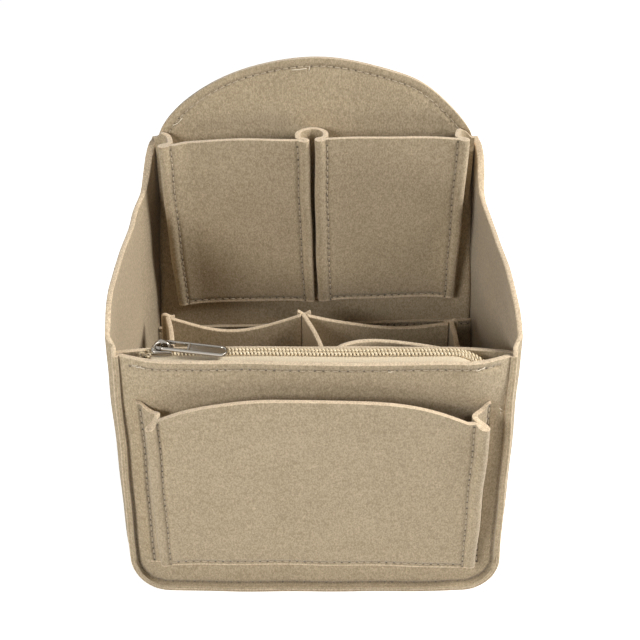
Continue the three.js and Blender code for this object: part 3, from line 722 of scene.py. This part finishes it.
# The row of stitches is the arch's edge moved inwards, and it ends below the shoulders.
arch_row_inset, arch_row_end = 4.6, 208
arch_share = np.linspace(-0.985, 0.985, 160)
arch_edge = np.stack([arch_share * back_half(np.full_like(arch_share, shoulder_height)),
                      shoulder_height + back_arch(arch_share)], -1)
arch_step = unit(np.gradient(arch_edge, axis=0))
arch_in = arch_edge + np.stack([arch_step[:, 1], -arch_step[:, 0]], -1) * arch_row_inset
arch_row = np.stack([arch_in[:, 0], np.full_like(arch_share, back_face), arch_in[:, 1]], -1)
arch_row = arch_row[arch_row[:, 2] > arch_row_end]
felt_piece("back_panel_felt", ["back_panel"], *board(back_middle, panel_thickness(panel_out)),
           seams=[arch_row, arch_row + (0, felt, 0)], flat=(0.186, 0.262))
stitches("back_panel_topstitch", [arch_row, arch_row + (0, felt, 0)], [(0, -1, 0), (0, 1, 0)])


# Rear wall of the zip pocket and the facing of the lower back wall: plain felt sheets that stand across
# the bag, with their ends sewn into the sides. The facing's top edge is topstitched to the back wall.
panel_foot = felt + seat_gap
wall_depth = front_back_face + seat_gap
wall_lean = 4.4


def rear_wall_face(x, z):
    """Front of the rear wall: level across the middle, drawn forward into both corners, bowed at its foot."""
    along = np.clip(np.abs(x) / half_width, 0, 1)
    rise = np.clip(z / front_height, 0, 1)
    return wall_depth + wall_lean * (1 - along ** 6) * rise - foot_bow * bow_shape(x) * (1 - rise)


def rear_wall_top(across):
    """Upper edge of the rear wall: level, 2 mm under the front panel's."""
    return front_height - 2 + 0 * across


def cross_sheet(depth, top, face):
    """The two faces of a sheet across the bag, whose ends follow the sides and whose foot the round corners:
    x is a share of the sides' reach at that height, z runs from the foot to the top edge."""
    across = np.sin(np.linspace(-np.pi / 2, np.pi / 2, 101))
    a_grid, v_grid = np.meshgrid(across, lines(top(0.0), 2.5, [(top(0.0), 5)], 0.8))
    hand = np.sign(a_grid)

    def reach(z):
        """Half the room between the sides at a height, with a gap at each seam."""
        sides = outer_half(np.full_like(z, depth), np.maximum(z, corner_radius), hand)
        return sides - felt - 2 * seat_gap

    foot_half = reach(np.full_like(a_grid, corner_radius))
    foot = flat_foot(a_grid * foot_half, foot_half, panel_foot, corner_radius - panel_foot)
    z = lerp(foot, top(a_grid), v_grid)
    x = a_grid * reach(z)
    near = np.stack([x, face(x, z), z], -1)
    return near, near + (0, felt, 0)


felt_piece("zip_pocket_rear_wall_felt", ["zip_pocket_rear_wall"],
           *cross_sheet(wall_depth, rear_wall_top, rear_wall_face),
           flat=(0.2, 0.145), rests_on=("side_base_strip_felt",))

facing_depth = back_face - seat_gap - felt
facing_height, facing_slant = 94, 3
facing_row_half, facing_row_drop = 93, 2.0


def facing_face(x, z):
    """Front of the facing: flat, one felt and a gap in front of the back wall."""
    return facing_depth + 0 * x


def facing_top(across):
    """Upper edge of the facing, which rises a little towards the right."""
    return facing_height + facing_slant * across


facing_x = np.linspace(-facing_row_half, facing_row_half, 90)
facing_row = np.stack([facing_x, np.full(90, facing_depth), facing_top(facing_x / 96) - facing_row_drop], -1)
felt_piece("back_wall_facing_felt", ["back_wall_facing"],
           *cross_sheet(facing_depth, facing_top, facing_face),
           seams=[facing_row], flat=(0.19, 0.092), rests_on=("back_panel_felt",))
stitches("back_wall_facing_topstitch", [facing_row], [(0, -1, 0)])


# Front pocket: a strip of felt that is folded into a bellows. At each end it is sewn flat to the panel, comes
# forward, and is pinched and stitched into a standing ridge before it runs across as the pocket's face.
fold_step, fold_round = 0.2, 1.1
fold_spacing, face_spacing, crease_spacing = 0.9, 2.2, 0.7
pocket_height = 110


def folded_strip(corners, creased=()):
    """Middle line of a folded strip, from corners with columns x, off when open, off when sewn flat,
    thickness when sewn flat, share that lies on the wall, share that is ridge, droop. The corners are
    rounded by a running mean weighted as a bell, fold_round wide, and the line is closer set round the
    folds and round the places x in creased."""
    corners = np.array(corners, float)
    length = lengths_along(corners[:, :2])
    line = read_off(corners, length, np.arange(0, length[-1], fold_step))
    bell = np.exp(-(np.arange(-18, 19) * fold_step / fold_round) ** 2 / 2)
    bell /= bell.sum()
    padded = np.pad(line, ((18, 18), (0, 0)), "reflect", reflect_type="odd")
    line = np.stack([np.convolve(column, bell, "valid") for column in padded.T], -1)
    turning = np.linalg.norm(np.gradient(np.gradient(line[:, :2], axis=0), axis=0), axis=1)
    turning = np.convolve(turning, np.ones(61) / 61, "same")
    density = fold_step * np.where(turning > 0.0006, 1 / fold_spacing, 1 / face_spacing)
    for fold in creased:
        near_fold = (np.abs(line[:, 0] - fold) < 3) & (line[:, 4] < 0.1)
        density = np.where(near_fold, fold_step / crease_spacing, density)
    density = np.convolve(density, np.ones(21) / 21, "same")
    place = np.cumsum(density)
    picks = np.interp(np.arange(place[0], place[-1], 1.0), place, np.arange(len(place)))
    picks = np.append(picks, len(place) - 1)
    return read_off(line, np.arange(len(line)), picks)


flange_off = felt / 2
ridge_half = 1.45


def ridge(hand, tip, root, foot, flange, depth, lean, droop, curl, rise=0.0):
    """Corners of one bellows end: its flange on the wall, a turn away from it as wide as curl, the gusset,
    whose edge rises a little before the root, and the ridge with its root on the face."""
    inner = tip - hand * ridge_half
    return [
        (flange, flange_off, 0.9, 1.8, 1, 0, 0),
        (foot + hand * curl, flange_off, 0.9, 1.8, 1, 0, 0),
        (foot + hand * curl * 0.3, flange_off + curl * 0.3, 0.9, 1.8, 0.7, 0, 0),
        (lerp(foot, root, 0.3), flange_off + curl, 1.2, 1.8, 0.35, 0, 0),
        (root - hand * 0.6, depth - 3.2, 2.0, 1.7, 0, 0, -rise),
        (root, depth - ridge_half, 2.3, 1.6, 0, 0, -rise * 0.5),
        (inner, depth - ridge_half + lean, 2.6, 1.6, 0, 1, droop),
        (inner, depth + ridge_half + lean, 4.4, 1.6, 0, 1, droop),
        (lerp(inner, root, 0.5), depth + 2.3 + lean * 0.6, 4.8, 1.9, 0, 1, droop * 0.6),
        (root + hand * 0.6, depth + 1.2, 3.9, 1.5, 0, 0, 0),
        (root - hand * 1.2, depth + 1.2, 3.8, 1.6, 0, 0, 0),
    ]


def bellows(line, foot, top, wall_top, wall, foot_reach=(-half_width, half_width)):
    """The two faces of a folded strip over its height, the outer one first. At its foot the folds are
    pressed flat, the flanges within foot_reach, and the distance from the wall opens as the height to the
    power 0.9; each face is half the thickness from the middle line."""
    x, off_open, off_flat, thin, on_wall, _, droop = line.T
    height = top(x) * (1 - on_wall) + wall_top * on_wall - droop
    low = foot(x)
    share = lines(pocket_height, 2.4, [(0, 6), (pocket_height, 4)], 0.8)
    rows = []
    for hand in (1, -1):
        v = share[:, None]
        off = lerp(off_flat, off_open, v ** 0.9)
        full = lerp(thin, felt, eased(v * 3.2))
        held_in = lerp(x, np.clip(x, *foot_reach), np.clip(on_wall * 2, 0, 1))
        plan = np.stack([lerp(held_in, x, eased(v * 1.3)), off], -1)
        step = unit(np.gradient(plan, axis=1))
        plan = plan + np.stack([-step[..., 1], step[..., 0]], -1) * (hand * full / 2)[..., None]
        z = lerp(low, height, v)
        y = wall(plan[..., 0], z) - seat_gap - np.maximum(plan[..., 1], 0)
        rows.append(np.stack([plan[..., 0], y, z], -1))
    return rows


def belly_corners(left, right, depth, belly, count):
    """The face between two ridges: its distance from the wall swells by the belly, as 1 - edge squared."""
    share = np.linspace(0, 1, count + 2)[1:-1]
    edge = np.abs(2 * share - 1)
    columns = [lerp(left, right, share), depth + ridge_half + belly * (1 - edge ** 2), 1.5 + 2.5 * edge ** 6,
               2.7 - 1.1 * edge ** 6, 0 * share, 0 * share, 0 * share]
    return [tuple(row) for row in np.stack(columns, -1)]


front_pocket_low, front_pocket_high, front_flange_top = 19.5, 134.0, 125.0
front_depth, front_lean = 10.0, 4.0


def front_pocket_foot(x):
    """Lower edge of the front pocket, 1.8 mm lower at its right end."""
    return front_pocket_low - 1.8 * eased(x / 85)


def front_pocket_top(x):
    """Upper edge of the front pocket: an arch that falls as the distance from x = -2 to the power 3.2."""
    return front_pocket_high - 17.9 * (np.minimum(np.abs(x + 2), 78) / 84) ** 3.2


front_corners = [
    *ridge(-1, -84.0, -78.0, -85.0, -89.0, front_depth, front_lean, 2.5, 1.5, 1.8),
    *belly_corners(-78.0, 79.7, front_depth, -2.0, 24),
    *ridge(1, 87.0, 79.7, 85.2, 88.4, front_depth, front_lean, 2.5, 1.5, 1.8)[::-1],
]
front_line = folded_strip(front_corners)
front_pocket_sides = bellows(
    front_line, front_pocket_foot, front_pocket_top, front_flange_top, front_face)


def column_at(line, x, off):
    """Number of the strip's column nearest to a place in plan."""
    return np.argmin(np.hypot(line[:, 0] - x, line[:, 1] - off))


def seam_rows(outer, line, faces, depth):
    """Seams on a pocket's outer face: up the root of each ridge, and across its foot between the roots."""
    rows = []
    for left, right in faces:
        first, last = column_at(line, left, depth + 1.2), column_at(line, right, depth + 1.2)
        rows += [outer[1:-1, first], outer[1:-1, last], outer[3, first:last + 1]]
    return rows


front_pocket_rows = seam_rows(front_pocket_sides[0], front_line, [(-77.4, 79.1)], front_depth)
for flange_seam in (-87.2, 87.0):
    front_pocket_rows.append(front_pocket_sides[0][2:-1, column_at(front_line, flange_seam, flange_off)])
felt_piece("front_pocket_felt", ["front_pocket"], *front_pocket_sides, seams=front_pocket_rows,
           flat=(0.22, 0.113), held="folded", rests_on=("front_panel_felt",), pale_foot=1, deep=3)
stitches("front_pocket_stitches", front_pocket_rows, [(0, -1, 0)] * 5)


# Back pockets: one strip folded into two bellows pockets side by side on the upper back wall. Between them it
# lies on the wall and comes forward again, so its upper edge draws a round loop between the two ridges.
back_depth, back_lean = 16.0, 1.5
loop_x, loop_off, loop_radius = -0.9, 9.6, 8.2
back_corners = [
    *ridge(-1, -84.0, -78.0, -79.0, -87.5, back_depth, back_lean, 0.0, 4.5),
    *belly_corners(-78.0, -8.6, back_depth, 0.0, 14),
    *ridge(1, -2.6, -8.6, -8.6, -5.0, back_depth, back_lean, 0.0, 0.0)[:4:-1],
    *[(loop_x - loop_radius * math.cos(turn), loop_off - loop_radius * math.sin(turn),
       0.9 + 0.4 * abs(math.cos(turn)), 1.8, 0, 0, 0) for turn in np.linspace(0, math.pi, 9)],
    *ridge(-1, 0.8, 6.8, 6.8, 3.0, back_depth, back_lean, 0.0, 0.0)[5:],
    *belly_corners(6.8, 77.4, back_depth, 0.0, 14),
    *ridge(1, 83.4, 77.4, 78.4, 87.5, back_depth, back_lean, 0.0, 4.5)[::-1],
]


def back_pocket_foot(x):
    """Lower edge of the back pockets, a straight line that rises a little to the right."""
    return 111 + 3 * x / 100


def back_pocket_top(x):
    """Upper edge of the back pockets: it rises over the left one, and each has an arch of 1.3 mm."""
    rise = lerp(214.5, 218.5, np.clip(1 + x / 84, 0, 1))
    return rise + 1.3 * (1 - np.minimum(np.abs(np.abs(x) - 42) / 36, 1) ** 2)


def back_wall_face(x, z):
    """Front of the back panel: flat."""
    return back_face + 0 * x


# A soft crease runs down the left pocket's face, deepest at crease_x.
crease_x, crease_depth = -68.5, 2.6
back_line = folded_strip(back_corners, creased=(crease_x,))
on_face = np.exp(-((back_line[:, 1] - back_depth - ridge_half) / 0.6) ** 2)
back_line[:, 1] += on_face * np.interp(back_line[:, 0], [-77, crease_x, -25], [0, -crease_depth, 0])
back_flange_top = (216 - 2.5 * eased((np.abs(back_line[:, 0]) - 83) / 3)
                   + 3 * np.exp(-((back_line[:, 0] - 79) / 3) ** 2))
back_pocket_sides = bellows(back_line, back_pocket_foot, back_pocket_top, back_flange_top, back_wall_face,
                            foot_reach=(-80.5, 79.5))

# The ridges stand a little askew: how far each is moved sideways at its foot and at its top.
askew_at = [-84, -78, -8.6, -2.6, 0.8, 6.8, 77.4, 83.4]
low_shift = np.interp(back_line[:, 0], askew_at, [3.0, 2.5, 3.0, 3.0, -0.5, 1.3, -1.3, -1.8])
high_shift = np.interp(back_line[:, 0], askew_at, [-1.3, -1.3, -0.7, -0.4, -1.4, -1.5, 0, 0])
for side in back_pocket_sides:
    side[..., 0] += lerp(low_shift, high_shift, np.linspace(0, 1, len(side))[:, None])
back_rows = seam_rows(back_pocket_sides[0], back_line, [(-77.4, -9.2), (7.4, 76.8)], back_depth)
felt_piece("back_pockets_felt", ["back_pockets"], *back_pocket_sides, seams=back_rows, flat=(0.30, 0.107),
           held="folded", rests_on=("back_panel_felt",), pale_foot=2)
stitches("back_pockets_stitches", back_rows, [(0, -1, 0)] * 6)


# Dividers: three felt walls that run from front to back, two scooped walls behind the cells, and a tab
# behind each joint, where the divider's own felt comes through the seam. All are sewn at their ends.
divider_foot = felt + 3.0
cells_depth = 84.9
divider_face = wall_depth + cells_depth
divider_walls = {"left": (-83.5, 7.7, 118.0), "middle": (-6.3, 14.0, 120.5), "right": (77.0, 3.0, 114.5)}
tab_width = 7.5


def upright(height):
    """Rows of an upright sheet, closer set at its upper edge."""
    return lines(height, 2.6, [(height, 4)], 0.9)


for side, (place, drift, height) in divider_walls.items():
    u_grid, v_grid = np.meshgrid(lines(tab_width, 0.9), upright(height))
    x = lerp(place - tab_width / 2, place + tab_width / 2, u_grid)
    y = divider_face + felt + seat_gap + felt / 2 + 0.25 * np.cos(u_grid * np.pi * 2) * v_grid
    z = lerp(divider_foot, height + 0.8 * np.cos(u_grid * 6 + place) * v_grid, v_grid)
    tab_row_z = np.linspace(divider_foot + 3, height - 2, 40)
    tab_row = np.stack([np.full(40, place), np.full(40, divider_face + 2 * felt + seat_gap), tab_row_z], -1)
    tab = felt_piece(f"{side}_divider_tab_felt", [f"{side}_divider"], *board(np.stack([x, y, z], -1)),
                     seams=[tab_row])
    u_grid, v_grid = np.meshgrid(lines(77, 2.4, [(77, 4)], 0.9), upright(height))
    z = lerp(divider_foot, height, v_grid)
    start = rear_wall_face(place + drift, z) + felt + seat_gap
    x = place + drift * (1 - u_grid ** 2) + 0.6 * np.sin(u_grid * 5 + place) * v_grid
    y = lerp(start, divider_face + felt, u_grid)
    felt_piece(f"{side}_divider_felt", [f"{side}_divider"], *board(np.stack([x, y, z], -1)),
               flat=(0.08, 0.112), rests_on=("side_base_strip_felt",), with_pieces=(tab,))

for side, left, right, scallop in (("left", "left", "middle", 9.2), ("right", "middle", "right", 5.0)):
    low = divider_walls[left][0] + felt / 2 + seat_gap
    high = divider_walls[right][0] - felt / 2 - seat_gap
    u_grid, v_grid = np.meshgrid(lines(high - low, 2.0, [(0, 3), (high - low, 3)], 0.9), upright(112))
    top = lerp(divider_walls[left][2], divider_walls[right][2], u_grid) - scallop * np.sin(np.pi * u_grid)
    near = np.stack([lerp(low, high, u_grid), divider_face + 0 * u_grid, lerp(divider_foot, top, v_grid)], -1)
    felt_piece(f"rear_divider_{side}_felt", [f"rear_divider_{side}"], near, near + (0, felt, 0),
               flat=(0.076, 0.113), rests_on=("side_base_strip_felt",))


# Slip pocket: a flat piece of felt with an arched mouth, sewn by its sides and foot to the back of the zip
# pocket's rear wall. Its mouth is bowed open.
middle_place, middle_drift, _ = divider_walls["middle"]
slip_left, slip_right = middle_place + middle_drift + felt / 2 + seat_gap, 70.0
slip_foot, slip_top, slip_bow = 45.0, 145.0, 9.6
u_grid, v_grid = np.meshgrid(lines(60, 2.0), lines(98, 2.4, [(98, 4)], 0.9))
x, z = lerp(slip_left, slip_right, u_grid), lerp(slip_foot, slip_top, v_grid)
bow = slip_bow * np.sin(np.pi * u_grid ** 0.7) * v_grid
near = np.stack([x, rear_wall_face(x, z) + felt + seat_gap + bow, z], -1)
felt_piece("slip_pocket_felt", ["slip_pocket"], near, near + (0, felt, 0), flat=(0.062, 0.098),
           rests_on=("zip_pocket_rear_wall_felt",))


# Zip: two woven cream tapes sewn inside the pocket's walls, and the chain of nylon coil between them. At both
# ends the chain turns to the front and dives behind the front panel, where it is sewn in.
zip_centre = margin + 1.4
chain_level = 150.35
chain_step = 0.25
chain_left, chain_right = -87.5, 86.0
chain_run = np.arange(chain_left, chain_right + 0.01, chain_step)
left_share = np.clip((-80 - chain_run) / 7.5, 0, 1)
right_share = np.clip((chain_run - 68) / 18, 0, 1)
heading = 1.15 * left_share - 0.62 * right_share
chain_x = np.cumsum(np.cos(heading)) * chain_step
chain_y = np.cumsum(np.sin(heading)) * chain_step
middle = np.argmin(np.abs(chain_run))
chain_x -= chain_x[middle]
chain_y += zip_centre - chain_y[middle]
chain_y += 0.45 * np.exp(-((chain_run + 32) / 20) ** 2) - 0.35 * np.exp(-((chain_run - 12) / 22) ** 2)
chain_z = chain_level - 5.5 * left_share ** 2 - 6 * right_share ** 2


def by_chain(along, sideways, up):
    """A place beside the chain: sideways is towards the back of the bag, up is above the chain's middle.
    Past the left end of the closed chain the two rows part by 1.2 mm."""
    turn = np.interp(along, chain_run, heading)
    sideways = sideways + 1.2 * np.clip((-80.5 - along) / 5, 0, 1) * np.sign(sideways)
    x = np.interp(along, chain_run, chain_x) - np.sin(turn) * sideways
    y = np.interp(along, chain_run, chain_y) + np.cos(turn) * sideways
    return np.stack([x, y, np.interp(along, chain_run, chain_z) + up], -1)


tape_rows, flat_columns = 130, 10
tape_thickness = 0.5
tape_least = 2.6
turn_falls = np.array([0.15, 0.7, 2.5, 5, 8])
tape_finish, tape_shader, tape_place = new_material(
    "woven_tape", 0.85, Sheen_Weight=0.2, Specular_IOR_Level=0.3)
weave = tape_place.waves("X", 420) * 0.6 + tape_place.waves("Y", 520) * 0.4
plug(weave.mixed((0.60, 0.50, 0.35), (0.82, 0.71, 0.53)), tape_shader, "Base Color")
plug((weave * 0.00008).bump(0.7), tape_shader, "Normal")


def woven_tape(side, hand, low, high):
    """One tape from low to high along the chain. Across it, the flat part runs from the coil to the wall
    behind it, where the tape turns down by turn_falls; it sags as a half wave of 0.25 mm."""
    along = np.linspace(low, high, tape_rows)
    x = by_chain(along, 0 * along, 0 * along)[:, 0]
    wall = front_face(x, 149) + felt + seat_gap if hand < 0 else rear_wall_face(x, 148) - seat_gap
    straight = 1 - np.clip((along - 74) / 9, 0, 1) - np.clip((-81 - along) / 5, 0, 1)
    width = lerp(tape_least, np.maximum(hand * (wall - zip_centre), tape_least), straight)[:, None]
    sideways = np.concatenate([lerp(0.55, width - 0.5, np.linspace(0, 1, flat_columns)[None]),
                               width - np.array([0.2, 0, 0, 0, 0])], 1)
    sag = 0.25 * np.sin(np.linspace(0, np.pi, flat_columns)) * np.sin(along / 13 + hand)[:, None]
    fall = np.concatenate([sag, turn_falls * lerp(0.35, 1, straight)[:, None]], 1)
    run = along[:, None] * np.ones(fall.shape[1])
    near, far = board(by_chain(run, hand * sideways, -1.3 - fall), tape_thickness)
    faces, rims = sheet_quads(*near.shape[:2])
    quads = np.concatenate(faces + rims)
    points = np.concatenate([near.reshape(-1, 3), far.reshape(-1, 3)])
    tape = fill_mesh(f"zip_tape_{side}_cloth", in_frame(points), quads, [tape_finish])
    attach(tape, "bag")
    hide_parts(f"zip_tape_{side}")


woven_tape("front", -1, -85.5, 83.0)
woven_tape("rear", 1, -87.0, 85.0)


# Coil: each row is a wound nylon thread, sewn to the edge of its tape. Every turn of it is a bean that rises
# from the middle of the chain, crosses over to its outer edge and dives under; the two rows are half a
# pitch apart.
coil_left, coil_right = -86, 84
tooth_pitch = 1.8
tooth_side = np.array([0.40, 0.62, 1.1, 1.7, 2.25, 2.6, 2.66])
tooth_up = np.array([-0.15, 0.36, 0.56, 0.58, 0.47, 0.05, -0.5])
tooth_slant = np.array([0, 0.14, 0.45, 0.82, 1.14, 1.32, 1.35])
tooth_radius = np.array([0.30, 0.44, 0.44, 0.42, 0.42, 0.38, 0.34])
tooth_breadth = 1.5
coil_finish, coil_shader, coil_place = new_material(
    "nylon_coil", 0.38, Specular_IOR_Level=0.45, Coat_Weight=0.1)
coil_shade = coil_place.noise(600, 1).ramp(0.3, 0.7)
plug(coil_shade.mixed((0.70, 0.57, 0.38), (0.82, 0.70, 0.50)), coil_shader, "Base Color")


def coil_row(side, hand):
    """One row of turns: each is a six-sided bar along the bean's middle line, its outline an oval of a
    radius along the row, times tooth_breadth across it."""
    starts = np.arange(coil_left, coil_right, tooth_pitch) + (tooth_pitch / 2 if hand > 0 else 0)
    along = starts[:, None] - hand * tooth_slant
    centre = by_chain(along, hand * tooth_side * np.ones_like(along), tooth_up * np.ones_like(along))
    ahead = unit(np.gradient(centre, axis=1))
    across = unit(np.cross(ahead, (-hand * 1.0, 0, 0.2)))
    over = np.cross(ahead, across) * tooth_breadth
    ring = centre[:, :, None] + tooth_radius[:, None, None] * (
        across[:, :, None] * np.cos(six_sides)[:, None] + over[:, :, None] * np.sin(six_sides)[:, None])
    quads = bar_quads(len(starts), len(tooth_side))
    coil = fill_mesh(f"zip_coil_{side}_turns", in_frame(ring.reshape(-1, 3)), quads, [coil_finish])
    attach(coil, "bag")
    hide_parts(f"zip_coil_{side}")


coil_row("front", -1)
coil_row("rear", 1)


# Slider: polished nickel, cast in one piece. Two plates joined by a narrow post run above and below the
# chain, the upper one with side lips, and an arched crown on it carries the pull.
slider_place = np.array([-75.0, zip_centre, 0.0])
nickel, nickel_shader, nickel_place = new_material("polished_nickel", 0.13, Metallic=1.0)
# The base colour is dimmed far below that of bright nickel: painted shade that stands in for the dark
# surroundings that the polished metal mirrors.
nickel_shader.inputs["Base Color"].default_value = (0.33, 0.305, 0.27, 1)
plug((nickel_place.noise(260, 2) * 0.00005).bump(0.5), nickel_shader, "Normal")


def stacked(outlines):
    """A closed solid from level outlines of as many points each; its ends are closed by strips across. Gives
    its points, and its faces, which look outwards."""
    levels, count = outlines.shape[:2]
    ids = np.arange(levels * count).reshape(levels, count)
    wrapped = np.concatenate([ids, ids[:, :1]], 1)
    half = np.arange(count // 2 - 1)
    caps = [np.stack([end[half], end[half + 1], end[count - 2 - half], end[count - 1 - half]], -1)
            for end in (ids[0, ::-1], ids[-1])]
    points = outlines.reshape(-1, 3)
    return points, facing_out(points, np.concatenate([grid_quads(wrapped), *caps]))


def rounded(turn, square):
    """Both coordinates of a rounded outline: cosine and sine to the power square, their signs kept."""
    return [np.sign(wave) * np.abs(wave) ** square for wave in (np.cos(turn), np.sin(turn))]


outline_turn = (np.arange(40) + 0.5) * 2 * np.pi / 40


def plate(reach_x, left_half, right_half, low, high, edge=0.25, middle_x=0.0):
    """A flat plate with rounded corners and edges; its half width runs from left_half to right_half. The
    outline is x = a cos t to the power 0.5, y = b sin t to the power 0.5."""
    x, y = rounded(outline_turn, 0.5)
    x = reach_x * x
    y = y * lerp(left_half, right_half, (x + reach_x) / (2 * reach_x))
    half_round = edge * 0.35
    rings = []
    for level, inset in ((low, edge), (low + half_round, half_round), (low + edge, 0),
                         (high - edge, 0), (high - half_round, half_round), (high, edge)):
        rings.append(np.stack([middle_x + x * (1 - inset / reach_x), y * (1 - inset / left_half),
                               np.full(len(x), level)], -1))
    return stacked(np.array(rings))


def ahead_on_loop(path):
    """Unit direction along a closed path: from each place's neighbour before it to the one after it."""
    return unit(np.roll(path, -1, axis=0) - np.roll(path, 1, axis=0))


def swept_bar(path, side, width, height, closed=False, square=0.62):
    """A bar with rounded edges along a path: its outline is x = a cos t to the power square and y = b sin t
    to the same power, width along side and height square to it."""
    wide, tall = rounded(np.linspace(0, 2 * np.pi, 21)[:-1], square)
    ahead = ahead_on_loop(path) if closed else np.gradient(path, axis=0)
    side = np.broadcast_to(side, path.shape)
    up = unit(np.cross(side, ahead))
    rings = (path[:, None] + side[:, None] * wide[:, None] * width / 2
             + up[:, None] * tall[:, None] * height / 2)
    if not closed:
        return stacked(rings)
    ids = np.arange(rings.size // 3).reshape(rings.shape[:2])
    points = rings.reshape(-1, 3)
    return points, facing_out(points, grid_quads(np.pad(ids, ((0, 1), (0, 1)), "wrap")))


def metal_piece(name, node, body, parts):
    """Puts several closed parts, in millimetres, into one piece of nickel with crisp edges."""
    points, quads = joined(parts)
    made = fill_mesh(name, (points + frame_shift) / 1000, quads, [nickel])
    made.data.set_sharp_from_angle(angle=math.radians(48))
    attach(made, body)
    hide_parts(node)


# Undersides and tops of the slider's plates and post, as heights over the ground
upper_plate, lower_plate, post = (151.62, 152.7), (146.5, 147.55), (147.2, 151.9)
crown_foot, crown_rise, crown_half = 152.35, 4.15, 3.9
slider_parts = [plate(5.5, 3.8, 3.3, *upper_plate), plate(5.5, 3.8, 3.3, *lower_plate)]
for hand in (-1, 1):
    lip = np.stack([np.linspace(-4.6, 4.9, 12), np.linspace(3.56, 3.12, 12) * hand, np.full(12, 151.0)], -1)
    lip[:, 2] += 0.25 * np.linspace(-1, 1, 12) ** 8
    slider_parts.append(swept_bar(lip, (0, 1.0, 0), 0.42, 2.1))
slider_parts.append(plate(1.1, 0.24, 0.24, *post, 0.05, -4.1))
crown_turn = np.linspace(0, np.pi, 33)
crown_path = np.stack([crown_half * np.cos(crown_turn), 0 * crown_turn,
                       crown_foot + crown_rise * np.sin(crown_turn) ** 0.75], -1)
slider_parts.append(swept_bar(crown_path, (0, 1.0, 0), 2.6, 1.15))
metal_piece("zip_slider_nickel", "zip_slider", "slider",
            [(points + slider_place, quads) for points, quads in slider_parts])


# Pull: polished nickel. A raised rim runs round it and round the slot that hangs on the crown; the thinner
# plate inside the rim is left plain. It lies on the closed chain, turned six degrees to the front.
pull_place = slider_place + (0, 0, 154.3)
pull_length, pull_drop = 33, 2.05
tilt, yaw = math.asin(pull_drop / pull_length), math.radians(6)
pull_axes = np.array([
    (math.cos(yaw) * math.cos(tilt), -math.sin(yaw) * math.cos(tilt), -math.sin(tilt)),
    (math.sin(yaw), math.cos(yaw), 0),
    (math.cos(yaw) * math.sin(tilt), -math.sin(yaw) * math.sin(tilt), math.cos(tilt))])
rim_half, rim_corner = 3.45, 0.9
rim_straight, rim_end = (1.6, 27.2), 27.8
bar_x = 13.4
rim_flat = rim_half - rim_corner
corner = np.linspace(0, np.pi / 2, 7)
far_end = np.linspace(-np.pi / 2, np.pi / 2, 31)[1:-1]
rim = np.concatenate([
    np.stack([np.zeros(9), np.linspace(rim_flat, -rim_flat, 9)], -1),
    np.stack([rim_corner * (1 - np.cos(corner[1:])), -rim_flat - rim_corner * np.sin(corner[1:])], -1),
    np.stack([np.linspace(*rim_straight, 26), np.full(26, -rim_half)], -1),
    np.stack([rim_end + 4.1 * np.cos(far_end) ** 0.6, rim_half * np.sin(far_end)], -1),
    np.stack([np.linspace(*rim_straight[::-1], 26), np.full(26, rim_half)], -1),
    np.stack([rim_corner * (1 - np.cos(corner[:0:-1])), rim_flat + rim_corner * np.sin(corner[:0:-1])], -1)])
rim_path = np.concatenate([rim, np.zeros((len(rim), 1))], 1)
rim_side = np.cross((0, 0, 1.0), ahead_on_loop(rim_path))

# The plate ends at the bar across the slot, and its far end is round as the rim is.
to_far_end = np.cos(outline_turn)
plate_x = np.where(to_far_end > 0, rim_end + 4.0 * to_far_end,
                   bar_x + (rim_end - bar_x) * (1 + to_far_end) ** 3)
plate_y = rim_half * np.clip(np.sin(outline_turn) * 1.35, -1, 1)
plate_rings = np.array([
    np.stack([plate_x, plate_y, np.full_like(plate_x, level)], -1) for level in (-0.42, 0.4)])
slot_bar = np.stack([np.full(9, bar_x), np.linspace(-rim_half, rim_half, 9), np.zeros(9)], -1)
pull_parts = [swept_bar(rim_path, rim_side, 1.4, 1.7, closed=True, square=0.45), stacked(plate_rings),
              swept_bar(slot_bar, (1.0, 0, 0), 1.4, 1.5, square=0.36)]
metal_piece("zip_pull_nickel", "zip_pull", "pull",
            [(points @ pull_axes + pull_place, quads) for points, quads in pull_parts])


# Loose threads: the ends of the seams, tacked down by hand with a few crossing stitches of a brighter
# thread: along the front's top seam, along the arch and on the right front seam.
tack_finish, tack_shader, _ = new_material("loose_thread", 0.5, Sheen_Weight=0.3)
tack_shader.inputs["Base Color"].default_value = (0.76, 0.68, 0.54, 1)
tack_width = 0.4


def thread_end(start, end, lift):
    """A short thread between two places, bowed out by lift along the y axis as a half wave."""
    share = np.linspace(0, 1, 9)[:, None]
    path = lerp(np.array(start), np.array(end), share)
    path[:, 1] -= lift * np.sin(np.pi * share[:, 0])
    side = unit(np.cross(path[-1] - path[0], (0, 1.0, 0)))
    return swept_bar(path, side, tack_width, tack_width)


def on_front(x, z):
    """A place on the front panel, a twentieth of a millimetre in front of its face."""
    return (x, float(front_face(np.array(x), np.array(z))) - 0.05, z)


tacks = []
for x, z, length, rise in ((-89.5, 146.4, 2.6, 0.4), (-87.6, 145.7, 2.4, 0.9), (-85.4, 146.2, 2.2, -0.5),
                           (79.0, 146.2, 2.4, 0.6), (81.0, 146.8, 2.2, 0.8), (36.0, 146.0, 2.0, 0.2)):
    tacks.append(thread_end(on_front(x, z), on_front(x + length, z + rise), 0.5))
for (x, z), (end_x, end_z) in (((-75.4, 220.4), (-72.4, 223.8)), ((-78.0, 219.6), (-75.0, 220.8)),
                               ((-12.6, 251.2), (-4.6, 251.8)), ((-3.4, 250.4), (-3.0, 252.8))):
    tacks.append(thread_end((x, back_face - 0.1, z), (end_x, back_face - 0.1, end_z), 0.6))
tacks.append(thread_end((94.6, 1.0, 118.0), (93.2, -0.4, 119.8), 0.4))
tacks.append(thread_end((94.8, 1.2, 116.0), (93.6, 0.0, 117.0), 0.3))
tack_points, tack_quads = joined(tacks)
loose = fill_mesh("loose_threads", in_frame(tack_points), tack_quads, [tack_finish])
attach(loose, "bag")
